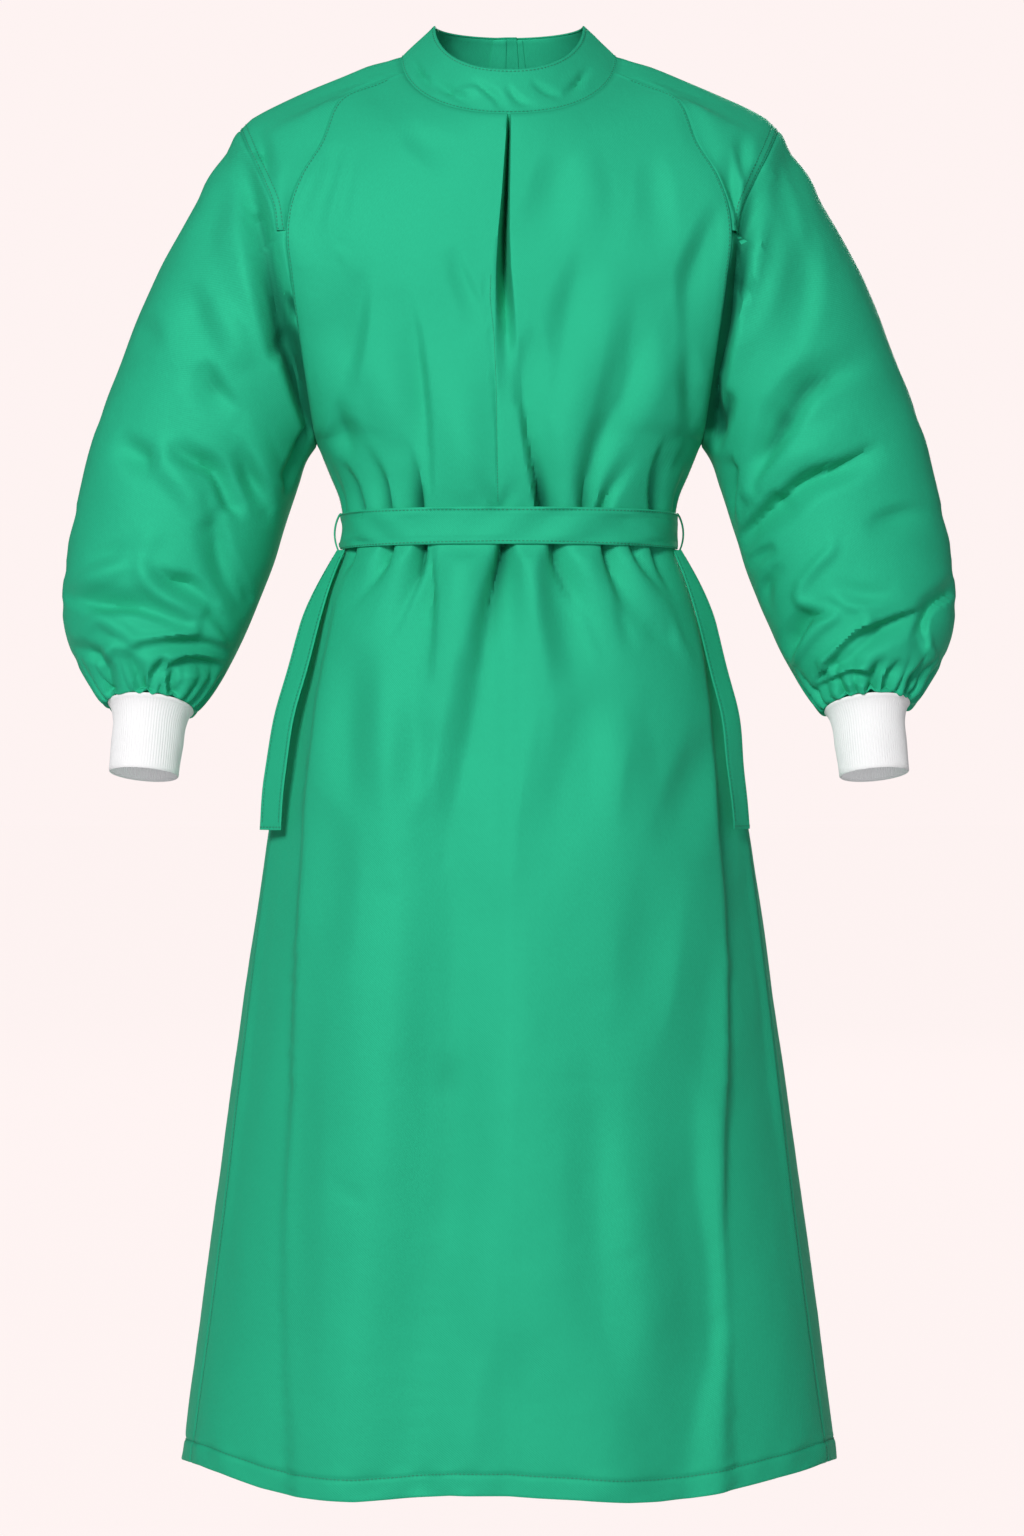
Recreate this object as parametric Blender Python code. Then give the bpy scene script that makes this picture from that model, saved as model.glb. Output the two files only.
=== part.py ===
"""Surgical gown: a long reusable theatre gown, filled out and with no wearer.

Each cut and sewn piece is one closed solid. The cloth is laid out as rows of points worked
out from the sections and seam lines below, pressed in along its folds, and given a wall.
+X is the wearer's left, the front faces -Y, +Z is up. The origin is the middle of the neck,
level with the sides of the collar. Every size in the tables is in millimetres.
"""

import math

import bmesh
import bpy
import numpy as np

NAME = "surgical_gown"
MM = 0.001

CLOTH_WALL = 1.5
KNIT_WALL = 2.0
SEAM_GAP = 0.3

NECK_HALF_WIDTH = 94.0
COLLAR_TOP_HALF_WIDTH = 64.5
BACK_OPENING = 1.0
FRONT_NECK_ANGLE = 75.0
BACK_NECK_ANGLE = 115.0

BELT_TOP = -396.0
BELT_BOTTOM = -428.0
BELT_WALL = 1.8
TIE_WIDTH = 24.0
LOOP_WIDTH = 8.0
LOOP_STAND = 5.5
NECK_TAB_WIDTH = 16.0

RAGLAN_UPPER_STEPS = 7
RAGLAN_LOWER_STEPS = 7
FRONT_SIDE_STEPS = 11
BACK_STEPS = 9
NECK_SIDE_STEPS = 3
YOKE_STEPS = 3
COLLAR_STEPS = 2

CUFF_GATHERS = 28
CUFF_RIBS = 60
RIB_HEIGHT = 0.45

GREEN = (0.035, 0.462, 0.275, 1.0)
WHITE = (0.90, 0.89, 0.885, 1.0)


def table(columns, *rows):
    """Rows of numbers as one array for each named column."""
    return {name: np.array([row[i] for row in rows], float)
            for i, name in enumerate(columns.split())}


# The body below the armholes. seam is the depth of the side seam, round the section's exponent.
BODY = table(
    "level half_width front back seam round",
    (-335.0, 166.5, 108.0, 112.0, 0.0, 2.4),
    (-362.0, 155.5, 107.5, 109.5, 0.0, 2.4),
    (-383.0, 147.0, 105.0, 104.0, 0.0, 2.4),
    (BELT_TOP, 144.5, 102.0, 100.0, 0.0, 2.4),
    (BELT_BOTTOM, 145.0, 102.0, 99.0, -2.0, 2.4),
    (-447.0, 153.5, 105.5, 103.0, -4.0, 2.35),
    (-472.0, 164.0, 109.5, 109.0, -6.0, 2.3),
    (-505.0, 175.0, 114.0, 115.0, -10.0, 2.3),
    (-550.0, 186.5, 120.0, 122.0, -14.0, 2.3),
    (-600.0, 198.0, 126.0, 129.0, -20.0, 2.25),
    (-660.0, 207.0, 133.0, 137.0, -26.0, 2.25),
    (-730.0, 217.5, 140.0, 146.0, -34.0, 2.25),
    (-810.0, 229.0, 148.0, 156.0, -42.0, 2.25),
    (-900.0, 242.5, 156.0, 165.0, -50.0, 2.2),
    (-1000.0, 256.5, 165.0, 174.0, -58.0, 2.2),
    (-1100.0, 270.5, 173.0, 181.0, -63.0, 2.2),
    (-1170.0, 279.5, 179.0, 186.0, -65.0, 2.2),
    (-1214.0, 285.0, 182.0, 188.0, -66.0, 2.2),
)

# Raglan seams from the collar to the armpit, on one side.
FRONT_RAGLAN = table(
    "x y z",
    (90.8, -20.2, -14.0),
    (115.6, -27.0, -26.0),
    (141.0, -37.0, -38.0),
    (161.0, -59.0, -84.0),
    (177.0, -69.0, -112.0),
    (186.0, -74.0, -138.0),
    (188.8, -77.0, -160.0),
    (184.5, -74.0, -202.0),
    (178.0, -64.0, -250.0),
    (171.5, -49.0, -297.0),
    (168.0, -27.0, -325.0),
    (166.5, 0.0, -335.0),
)
BACK_RAGLAN = table(
    "x y z",
    (85.2, 31.3, 0.2),
    (105.0, 46.0, -13.0),
    (135.0, 62.0, -37.0),
    (160.0, 77.0, -72.0),
    (177.0, 86.0, -108.0),
    (186.0, 91.0, -138.0),
    (188.8, 93.0, -160.0),
    (184.5, 91.0, -203.0),
    (178.0, 80.0, -250.0),
    (171.5, 59.0, -297.0),
    (168.0, 28.0, -326.5),
    (166.5, 0.0, -335.0),
)
RAGLAN_JOINT = 6

# The seam over the shoulder, where the yoke meets the sleeve, from front to back.
SHOULDER_SEAM = table(
    "x y z",
    (197.5, -76.0, -160.0),
    (200.0, -72.0, -141.0),
    (211.5, -59.0, -113.0),
    (226.5, -32.0, -80.0),
    (234.0, 3.0, -61.0),
    (227.0, 38.0, -80.0),
    (213.0, 68.0, -111.0),
    (201.0, 84.0, -141.0),
    (197.5, 91.5, -160.0),
)

# Sleeve sections: where each crosses the outer and the underarm edge in front view, its middle
# depth, its half depths to the front and back, and how far its front is tipped up.
SLEEVE = table(
    "outer_x outer_z inner_x inner_z depth front back tip",
    (273.0, -126.0, 176.5, -349.5, 4.0, 77.0, 80.0, 0.0),
    (312.0, -200.0, 182.5, -368.0, 3.0, 74.0, 76.0, 0.0),
    (343.0, -278.0, 189.5, -390.0, 2.0, 71.0, 73.0, 0.0),
    (364.0, -339.0, 198.0, -417.0, 0.0, 69.0, 71.0, 0.0),
    (378.0, -400.0, 207.5, -447.0, -4.0, 67.0, 68.0, 0.0),
    (387.0, -457.0, 220.0, -480.0, -9.0, 64.0, 65.0, 2.0),
    (384.5, -494.0, 232.0, -508.0, -14.0, 60.0, 61.0, 4.0),
    (374.5, -523.0, 243.5, -530.0, -19.0, 55.0, 56.0, 8.0),
    (361.0, -546.0, 256.0, -549.5, -24.0, 47.0, 49.0, 12.0),
    (350.5, -559.5, 267.0, -563.5, -28.0, 40.5, 41.5, 17.0),
    (344.5, -560.0, 272.0, -565.5, -30.0, 36.3, 36.3, 18.0),
)
SLEEVE_ROWS = (0.0, 0.5, 1.0, 1.5, 2.0, 2.6, 3.2, 3.8, 4.4, 5.0, 5.5, 6.0, 6.5, 7.0)
GATHER_ROWS = table(
    "row swing",
    (7.8, 0.6),
    (8.6, 1.8),
    (9.3, 2.8),
    (10.1, 2.2),
    (11.0, 0.0),
)

# The knitted cuff, along its axis from the sleeve seam.
CUFF = table(
    "along radius rib",
    (0.4, 36.0, 0.0),
    (6.0, 33.4, 0.6),
    (14.0, 31.0, 1.0),
    (56.0, 29.8, 1.0),
    (61.5, 29.9, 0.2),
)
CUFF_TOP = (308.3, -30.0, -562.8)
CUFF_END = (312.5, -48.0, -621.3)
CUFF_TOP_TIP = 18.0
CUFF_END_TIP = 12.0

# The inverted pleat below the collar: half its mouth and its depth at each level.
PLEAT = table(
    "level mouth depth",
    (-60.0, 1.8, 0.0),
    (-84.0, 2.4, 15.0),
    (-150.0, 4.2, 20.0),
    (-215.0, 7.5, 20.0),
    (-240.0, 9.0, 13.0),
    (-270.0, 11.0, 4.0),
    (-330.0, 12.5, 0.0),
)

# Folds pressed into the front, in front view: start, bend and end, depth and width at the start
# and end. skew above 0 makes the fold's right edge (down its length) the soft one.
FRONT_FOLDS = table(
    "x0 z0 x1 z1 x2 z2 depth0 depth1 width0 width1 skew",
    # The bodice, up from the belt
    (-121.0, -412.0, -127.0, -388.0, -138.0, -352.0, 12.0, 0.0, 15.0, 22.0, 0.0),
    (-95.0, -412.0, -103.0, -385.0, -121.0, -345.0, 12.0, 0.0, 15.0, 22.0, 0.0),
    (-75.0, -412.0, -76.0, -370.0, -79.0, -285.0, 17.0, 0.0, 15.0, 22.0, -0.18),
    (-8.0, -412.0, -9.0, -390.0, -9.0, -330.0, 10.0, 0.0, 15.0, 22.0, 0.0),
    (25.5, -412.0, 16.0, -360.0, 18.0, -275.0, 17.0, 0.0, 15.0, 24.0, 0.18),
    (64.0, -412.0, 64.0, -390.0, 60.0, -340.0, 11.0, 0.0, 15.0, 22.0, 0.0),
    (82.0, -412.0, 88.0, -380.0, 98.0, -330.0, 12.0, 0.0, 15.0, 22.0, 0.0),
    (121.5, -412.0, 127.0, -385.0, 136.0, -350.0, 12.0, 0.0, 15.0, 22.0, 0.0),
    # The skirt, down from the belt
    (-121.0, -412.0, -126.0, -440.0, -136.0, -490.0, 14, 2.0, 15.0, 22.0, 0.0),
    (-97.0, -412.0, -110.0, -460.0, -138.0, -545.0, 16, 2.0, 15.0, 22.0, 0.0),
    (-66.0, -412.0, -78.0, -480.0, -104.0, -600.0, 22.0, 2.0, 15.0, 34.0, -0.24),
    (-6.3, -412.0, -8.0, -480.0, -16.0, -600.0, 22.0, 6.0, 15.0, 40.0, 0.0),
    (35.5, -412.0, 46.0, -480.0, 68.0, -640.0, 22.0, 2.0, 15.0, 38.0, 0.24),
    (80.5, -412.0, 96.0, -470.0, 128.0, -590.0, 20, 2.0, 15.0, 32.0, 0.18),
    (104.0, -412.0, 112.0, -440.0, 128.0, -500.0, 14, 2.0, 15.0, 22.0, 0.0),
    (127.0, -412.0, 134.0, -440.0, 146.0, -500.0, 14, 2.0, 15.0, 22.0, 0.0),
    (-16.0, -600.0, -40.0, -820.0, -70.0, -1240.0, 8.0, 16.0, 42.0, 80.0, 0.0),
    (170.0, -850.0, 172.0, -1030.0, 172.0, -1240.0, 4.0, 12.0, 30.0, 46.0, 0.0),
    (-140.0, -452.0, -183.0, -640.0, -190.0, -1080.0, 9.0, 7.0, 18.0, 34.0, -0.6),
    (146.0, -452.0, 190.0, -640.0, 202.0, -1140.0, 9.0, 8.0, 18.0, 34.0, 0.6),
    # The sleeve at the right arm, left in front view
    (-233.0, -100.0, -212.0, -185.0, -178.0, -300.0, 22.0, 7.0, 18.0, 24.0, -0.55),
    (-206.0, -205.0, -195.0, -240.0, -188.0, -290.0, 11.0, 3.0, 18.0, 20.0, -0.4),
    (-322.0, -225.0, -270.0, -240.0, -228.0, -300.0, 8.0, 11.0, 22.0, 30.0, 0.3),
    (-300.0, -330.0, -250.0, -350.0, -215.0, -372.0, 11.0, 9.0, 24.0, 24.0, 0.3),
    (-368.0, -440.0, -320.0, -442.0, -250.0, -470.0, 12.0, 7.0, 20.0, 26.0, -0.3),
    (-372.0, -505.0, -310.0, -478.0, -262.0, -515.0, 11.0, 11.0, 18.0, 20.0, 0.3),
    # The sleeve at the left arm, right in front view
    (228.0, -102.0, 212.0, -180.0, 178.0, -296.0, 22.0, 7.0, 18.0, 24.0, 0.55),
    (196.0, -250.0, 190.0, -290.0, 196.0, -340.0, 12.0, 8.0, 18.0, 20.0, 0.3),
    (300.0, -150.0, 282.0, -230.0, 240.0, -300.0, 8.0, 11.0, 26.0, 30.0, -0.3),
    (318.0, -298.0, 270.0, -310.0, 205.0, -372.0, 12.0, 12.0, 20.0, 24.0, -0.3),
    (378.0, -400.0, 330.0, -415.0, 262.0, -400.0, 11.0, 8.0, 24.0, 24.0, 0.3),
    (372.0, -500.0, 320.0, -470.0, 250.0, -480.0, 12.0, 9.0, 20.0, 22.0, 0.3),
)

BACK_FOLDS = table(
    "x0 z0 x1 z1 x2 z2 depth0 depth1 width0 width1 skew",
    (-118.0, -412.0, -124.0, -380.0, -134.0, -335.0, 11.0, 0.0, 15.0, 22.0, 0.0),
    (-84.0, -412.0, -82.0, -370.0, -92.0, -300.0, 15.0, 0.0, 15.0, 24.0, 0.12),
    (-38.0, -412.0, -40.0, -375.0, -34.0, -310.0, 12.0, 0.0, 15.0, 22.0, 0.0),
    (34.0, -412.0, 38.0, -370.0, 44.0, -290.0, 15.0, 0.0, 15.0, 24.0, -0.12),
    (76.0, -412.0, 80.0, -380.0, 82.0, -330.0, 12.0, 0.0, 15.0, 22.0, 0.0),
    (116.0, -412.0, 122.0, -380.0, 132.0, -330.0, 12.0, 0.0, 15.0, 22.0, 0.0),
    (-124.0, -412.0, -130.0, -450.0, -150.0, -540.0, 14, 2.0, 15.0, 24.0, 0.0),
    (-88.0, -412.0, -96.0, -480.0, -118.0, -640.0, 21, 2.0, 15.0, 38.0, 0.18),
    (-42.0, -412.0, -48.0, -470.0, -56.0, -620.0, 18, 2.0, 15.0, 34.0, 0.0),
    (46.0, -412.0, 54.0, -480.0, 66.0, -680.0, 21, 2.0, 15.0, 38.0, -0.18),
    (92.0, -412.0, 100.0, -460.0, 124.0, -600.0, 18, 2.0, 15.0, 34.0, 0.0),
    (126.0, -412.0, 132.0, -450.0, 150.0, -530.0, 14, 2.0, 15.0, 22.0, 0.0),
    (-96.0, -720.0, -112.0, -960.0, -120.0, -1240.0, 5.0, 13.0, 44.0, 66.0, 0.0),
    (74.0, -760.0, 92.0, -980.0, 106.0, -1240.0, 5.0, 13.0, 44.0, 70.0, 0.0),
    (-206.0, -860.0, -214.0, -1030.0, -218.0, -1240.0, 4.0, 9.0, 30.0, 40.0, 0.0),
    (200.0, -820.0, 212.0, -1010.0, 216.0, -1240.0, 4.0, 9.0, 30.0, 40.0, 0.0),
    (-230.0, -110.0, -206.0, -200.0, -180.0, -300.0, 14.0, 5.0, 18.0, 26.0, -0.4),
    (230.0, -110.0, 204.0, -195.0, 180.0, -298.0, 14.0, 5.0, 18.0, 26.0, 0.4),
    (-330.0, -250.0, -280.0, -262.0, -215.0, -345.0, 9.0, 9.0, 22.0, 26.0, 0.0),
    (-372.0, -420.0, -310.0, -400.0, -232.0, -440.0, 11.0, 9.0, 24.0, 22.0, 0.2),
    (-368.0, -500.0, -310.0, -476.0, -250.0, -500.0, 11.0, 9.0, 18.0, 20.0, 0.0),
    (334.0, -262.0, 280.0, -280.0, 210.0, -350.0, 9.0, 11.0, 22.0, 26.0, 0.0),
    (376.0, -406.0, 312.0, -410.0, 228.0, -436.0, 11.0, 9.0, 24.0, 22.0, -0.2),
    (366.0, -505.0, 306.0, -484.0, 248.0, -498.0, 11.0, 9.0, 18.0, 20.0, 0.0),
)


def step(value, low, high):
    """A soft step from 0 at low to 1 at high."""
    t = np.clip((value - low) / (high - low), 0.0, 1.0)
    return t * t * (3.0 - 2.0 * t)


def unit(vectors):
    """Vectors of length 1."""
    return vectors / np.maximum(np.linalg.norm(vectors, axis=-1, keepdims=True), 1e-9)


def mirrored(points):
    """Points on the other side of the body."""
    return points * np.array([-1.0, 1.0, 1.0])


def smooth_through(values, knots, at):
    """Cubic pieces through values at the knots, whose slopes are the mean slopes there."""
    values, knots, at = (np.asarray(item, float) for item in (values, knots, at))
    spans = np.diff(knots).reshape((-1,) + (1,) * (values.ndim - 1))
    slopes = np.diff(values, axis=0) / spans
    inner = (slopes[:-1] * spans[1:] + slopes[1:] * spans[:-1]) / (spans[:-1] + spans[1:])
    tangents = np.concatenate([slopes[:1], inner, slopes[-1:]])
    piece = np.clip(np.searchsorted(knots, at, side="right") - 1, 0, len(knots) - 2)
    span = spans[piece]
    t = (at - knots[piece]).reshape(span.shape) / span
    return ((2 * t**3 - 3 * t**2 + 1) * values[piece] + (t**3 - 2 * t**2 + t) * span * tangents[piece]
            + (3 * t**2 - 2 * t**3) * values[piece + 1] + (t**3 - t**2) * span * tangents[piece + 1])


def lengths(points):
    """The length run along a line of points, up to each."""
    return np.r_[0.0, np.cumsum(np.linalg.norm(np.diff(points, axis=0), axis=1))]


def spread(points, fractions):
    """Points at fractions of the length of a line."""
    run = lengths(points)
    return np.stack([np.interp(np.asarray(fractions) * run[-1], run, points[:, k]) for k in range(3)], -1)


def seam_line(seam, fractions, first=0, last=None, neck=None):
    """Points at fractions of the length of a smooth seam through a table's points."""
    points = np.stack([seam["x"], seam["y"], seam["z"]], -1)
    if neck is not None:
        points[0] = neck_point(neck)
    last = len(points) - 1 if last is None else last
    knots = lengths(points)
    dense = smooth_through(points, knots, np.linspace(knots[first], knots[last], 200))
    return spread(dense, fractions)


def even(count):
    """Even fractions from 0 to 1."""
    return np.linspace(0.0, 1.0, count + 1)


def neck_point(angle, top=False):
    """A point of the collar's lower or upper edge, by its angle round from the front."""
    t = math.radians(angle)
    forward, side = math.cos(t), math.sin(t)
    if top:
        level = -20.0 + 50.0 * (1 - max(forward, 0.0))**1.1 + 1.5 * max(-forward, 0.0)
        return (COLLAR_TOP_HALF_WIDTH * side, -62.0 * forward if forward > 0 else -58.0 * forward, level)
    level = -60.0 + 64.0 * (1 - max(forward, 0.0))**1.1 - 14.0 * max(-forward, 0.0)**1.5
    return (NECK_HALF_WIDTH * side, -78.0 * forward if forward > 0 else -74.0 * forward, level)


def neck_arc(first, last, fractions):
    """Points of the collar's lower edge between two angles."""
    angles = np.linspace(first, last, 120)
    return spread(np.array([neck_point(a) for a in angles]), fractions)


def raglan(seam):
    """One raglan seam as two runs of points that meet where the yoke ends."""
    neck = FRONT_NECK_ANGLE if seam is FRONT_RAGLAN else BACK_NECK_ANGLE
    upper = seam_line(seam, even(RAGLAN_UPPER_STEPS), last=RAGLAN_JOINT, neck=neck)
    lower = seam_line(seam, even(RAGLAN_LOWER_STEPS), first=RAGLAN_JOINT, neck=neck)
    return np.concatenate([upper, lower[1:]])


def pleat_at(level):
    """Half the pleat's mouth and its depth."""
    order = -PLEAT["level"]
    return (np.interp(-level, order, PLEAT["mouth"]), np.interp(-level, order, PLEAT["depth"]))


def front_fractions(length, mouth):
    """Where a front row's points lie along it: even at the sides, then the pleat's four."""
    edge = 0.5 - mouth / length
    floor = 0.5 - 0.45 * mouth / length
    half = np.r_[even(FRONT_SIDE_STEPS) * edge, floor]
    return np.r_[half, 1.0 - half[::-1]]


def half_row(side, middle, power, round_out, round_in, sag=2.0, count=90):
    """Half a row from the middle to a seam: a section whose roundness is set at both ends."""
    s = np.sin(np.linspace(0.0, math.pi / 2, count))
    depth = side[1] + (middle[1] - side[1]) * (1 - s**round_out)**(1 / round_in)
    return np.stack([side[0] * s, depth, middle[2] + (side[2] - middle[2]) * s**sag], -1)


def upper_rows(seam, neck_depth, armpit_depth, neck_level, front):
    """The rows of the front, or of half the back, from the collar down to the armpits."""
    points = raglan(seam)
    share = lengths(points) / lengths(points)[-1]
    rows = []
    for k, (side, f) in enumerate(zip(points, share)):
        level = neck_level + (-335.0 - neck_level) * f
        middle = (0.0, neck_depth + (armpit_depth - neck_depth) * f**0.55, level)
        round_out = 2.0 + 0.4 * f
        round_in = 1.5 + 0.9 * step(f, 0.5, 1.0)
        half = half_row(side, middle, 2.0, round_out, round_in)
        if front:
            whole = np.concatenate([mirrored(half[:0:-1]), half])
            mouth = pleat_at(level)[0]
            row = spread(whole, front_fractions(lengths(whole)[-1], mouth))
            arc = neck_arc(-FRONT_NECK_ANGLE, FRONT_NECK_ANGLE, front_fractions(210.0, 1.8))
        else:
            row = spread(half, even(BACK_STEPS))
            arc = neck_arc(180.0, BACK_NECK_ANGLE, even(BACK_STEPS))
        rows.append(row)
        if k == 0:
            change = arc - row
    return [row + change * (1 - step(f, 0.0, 0.45)) for row, f in zip(rows, share)]


def ring(section, first, last, count=260):
    """Part of a body section between two angles round from the front, in degrees."""
    t = np.radians(np.linspace(first, last, count))
    power = 2.0 / section["round"]
    x = section["half_width"] * np.sign(np.sin(t)) * np.abs(np.sin(t))**power
    reach = np.where(np.cos(t) > 0, -section["front"], section["back"])
    return np.stack([x, reach * np.abs(np.cos(t))**power, np.full(count, section["level"])], -1)


def body_sections():
    """The body's table as one record for each level."""
    return [{key: column[i] for key, column in BODY.items()} for i in range(len(BODY["level"]))]


def seam_angle(section):
    """The angle of the side seam round from the front, in degrees."""
    return math.degrees(math.acos((-section["seam"] / section["front"])**(section["round"] / 2)))


def front_grid():
    """The whole front, from the collar to the hem."""
    rows = upper_rows(FRONT_RAGLAN, -78.0, -108.0, -60.0, True)
    for section in body_sections()[1:]:
        angle = seam_angle(section)
        line = ring(section, -angle, angle)
        rows.append(spread(line, front_fractions(lengths(line)[-1], pleat_at(section["level"])[0])))
    return np.array(rows)


def back_grid():
    """The left half of the back, from its opening to the raglan and side seam."""
    rows = upper_rows(BACK_RAGLAN, 74.0, 112.0, -10.0, False)
    for section in body_sections()[1:]:
        rows.append(spread(ring(section, 180.0, seam_angle(section)), even(BACK_STEPS)))
    grid = np.array(rows)
    grid[:, 0, 0] = BACK_OPENING / 2
    return grid


def sleeve_ring(index, angles):
    """A sleeve section at angles round it: 0 outside, 90 in front, 180 under the arm."""
    row = {key: column[index] for key, column in SLEEVE.items()}
    t = np.radians(angles)
    outer = np.array([row["outer_x"], row["depth"], row["outer_z"]])
    inner = np.array([row["inner_x"], row["depth"], row["inner_z"]])
    tip = math.radians(row["tip"])
    forward = np.array([0.0, -math.cos(tip), math.sin(tip)])
    reach = np.where(np.sin(t) > 0, row["front"], row["back"])
    return (outer + inner) / 2 + np.outer(np.cos(t), (outer - inner) / 2) + np.outer(reach * np.sin(t), forward)


def shoulder_and_armhole():
    """The yoke's inner edge, the shoulder seam, and the sleeve's whole armhole loop with angles."""
    front, back = raglan(FRONT_RAGLAN), raglan(BACK_RAGLAN)
    arc = neck_arc(FRONT_NECK_ANGLE, BACK_NECK_ANGLE, even(NECK_SIDE_STEPS))
    joint = RAGLAN_UPPER_STEPS
    inner = np.concatenate([front[joint::-1], arc[1:-1], back[:joint + 1]])
    seam = seam_line(SHOULDER_SEAM, lengths(inner) / lengths(inner)[-1])
    loop = np.concatenate([front[:joint - 1:-1], seam, back[joint:-1]])
    run = lengths(np.concatenate([loop, loop[:1]]))
    top = RAGLAN_LOWER_STEPS + 1 + int(np.argmax(seam[:, 2]))
    angles = np.where(np.arange(len(loop)) <= top, 180.0 * (1 - run[:-1] / run[top]),
                      -180.0 * (run[:-1] - run[top]) / (run[-1] - run[top]))
    return inner, seam, loop, angles


def sleeve_layout(angles, loop, inner):
    """The sleeve's control rings for some columns: yoke edge, armhole, then its sections."""
    rings = [sleeve_ring(i, angles) for i in range(len(SLEEVE["depth"]))]
    first = RAGLAN_LOWER_STEPS + 1
    before = loop - 0.5 * (rings[0] - loop)
    before[first:first + len(inner)] = inner
    return np.array([before, loop] + rings)


def yoke_and_sleeve():
    """The rows of the yoke, and of the sleeve down to its gathers, on the left side."""
    inner, seam, loop, angles = shoulder_and_armhole()
    control = sleeve_layout(angles, loop, inner)
    knots = np.arange(len(control)) - 1.0
    first = RAGLAN_LOWER_STEPS + 1
    upper = smooth_through(control, knots, np.linspace(-1.0, 0.0, YOKE_STEPS + 1))
    yoke = upper[:, first:first + len(inner)]
    yoke[0], yoke[-1] = inner, seam
    for end in (0, -1):
        yoke[:, end] = inner[end] + (seam[end] - inner[end]) * even(YOKE_STEPS)[:, None]
    sleeve = smooth_through(control, knots, np.array(SLEEVE_ROWS))
    sleeve[0] = loop
    return yoke, list(sleeve)


def gather_rows():
    """The sleeve's rows at the cuff, with two columns to each gather."""
    angles = 180.0 - 360.0 * np.arange(2 * CUFF_GATHERS) / (2 * CUFF_GATHERS)
    control = np.array([sleeve_ring(i, angles) for i in range(len(SLEEVE["depth"]))])
    knots = np.arange(1.0, len(control) + 1.0)
    return list(smooth_through(control, knots, GATHER_ROWS["row"]))


def row_normals(grid, closed=False):
    """Outward directions at a grid's points, the way its rows and columns turn."""
    if closed:
        grid = np.concatenate([grid[:, -1:], grid, grid[:, :1]], 1)
    across = np.gradient(grid, axis=1)
    down = np.gradient(grid, axis=0)
    normals = unit(np.cross(across, down))
    return normals[:, 1:-1] if closed else normals


def fold_depth(points, facing, folds):
    """How far each point is pressed in by the folds on the side that it faces."""
    total = np.zeros(len(points))
    for i in range(len(folds["x0"])):
        fold = {key: column[i] for key, column in folds.items()}
        t = np.linspace(0.0, 1.0, 25)
        path_x = (1 - t)**2 * fold["x0"] + 2 * t * (1 - t) * fold["x1"] + t**2 * fold["x2"]
        path_z = (1 - t)**2 * fold["z0"] + 2 * t * (1 - t) * fold["z1"] + t**2 * fold["z2"]
        dx = points[:, 0, None] - path_x
        dz = points[:, 2, None] - path_z
        nearest = np.argmin(dx**2 + dz**2, axis=1)
        pick = np.arange(len(points))
        away = np.sqrt(dx**2 + dz**2)[pick, nearest]
        side = dx[pick, nearest] * np.gradient(path_z)[nearest] - dz[pick, nearest] * np.gradient(path_x)[nearest]
        along = t[nearest]
        width = fold["width0"] + (fold["width1"] - fold["width0"]) * along
        width = width * (1 - np.sign(side) * fold["skew"])
        depth = fold["depth0"] + (fold["depth1"] - fold["depth0"]) * along
        total += depth * np.clip(1 - (away / width)**2, 0.0, 1.0)**2
    return total * facing


def pressed(points, normals):
    """Points moved in along their normals by the folds of the front and of the back."""
    depth = fold_depth(points, step(-normals[:, 1], 0.1, 0.5), FRONT_FOLDS)
    depth += fold_depth(points, step(normals[:, 1], 0.1, 0.5), BACK_FOLDS)
    return points - normals * depth[:, None]


class Piece:
    """One piece of cloth: rows of outer points, each row as long as it needs to be."""

    def __init__(self, name, rows, closed=False, wall=CLOTH_WALL, material="green"):
        self.name, self.closed, self.wall, self.material = name, closed, wall, material
        self.rows = [np.array(row, float) for row in rows]
        self.flipped = False

    def starts(self):
        return np.r_[0, np.cumsum([len(row) for row in self.rows])]

    def points(self):
        return np.concatenate(self.rows)

    def set_points(self, points):
        starts = self.starts()
        self.rows = [points[a:b] for a, b in zip(starts[:-1], starts[1:])]

    def triangles(self):
        """Triangles between neighbouring rows, also between rows of different lengths."""
        starts, points, faces = self.starts(), self.points(), []
        for k in range(len(self.rows) - 1):
            upper, lower = len(self.rows[k]), len(self.rows[k + 1])
            a, b = starts[k], starts[k + 1]
            if upper == lower:
                for i in range(upper if self.closed else upper - 1):
                    j = (i + 1) % upper
                    p, q, r, s = a + i, a + j, b + j, b + i
                    if np.linalg.norm(points[p] - points[r]) < np.linalg.norm(points[q] - points[s]):
                        faces += [(p, q, r), (p, r, s)]
                    else:
                        faces += [(p, q, s), (q, r, s)]
                continue
            i = j = 0
            while i < upper or j < lower:
                if j == lower or (i < upper and (i + 0.5) / upper <= (j + 0.5) / lower):
                    faces.append((a + i, a + (i + 1) % upper, b + j % lower))
                    i += 1
                else:
                    faces.append((a + i % upper, b + (j + 1) % lower, b + j))
                    j += 1
        if self.flipped:
            faces = [face[::-1] for face in faces]
        return np.array(faces)

    def borders(self):
        """The piece's edges as closed loops of point numbers, the way its triangles turn."""
        edges = set()
        for a, b, c in self.triangles():
            edges.update(((a, b), (b, c), (c, a)))
        following = {a: b for a, b in edges if (b, a) not in edges}
        loops = []
        while following:
            start = next(iter(sorted(following)))
            loop, point = [], start
            while point in following:
                loop.append(point)
                point = following.pop(point)
            loops.append(loop)
        return loops

    def normals(self):
        """Outward directions at the points, by area, and how even they make the wall."""
        points, faces = self.points(), self.triangles()
        face = np.cross(points[faces[:, 1]] - points[faces[:, 0]], points[faces[:, 2]] - points[faces[:, 0]])
        face = unit(face) * np.sqrt(np.linalg.norm(face, axis=1, keepdims=True))
        total = np.zeros_like(points)
        for corner in range(3):
            np.add.at(total, faces[:, corner], face)
        return unit(total)


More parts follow.
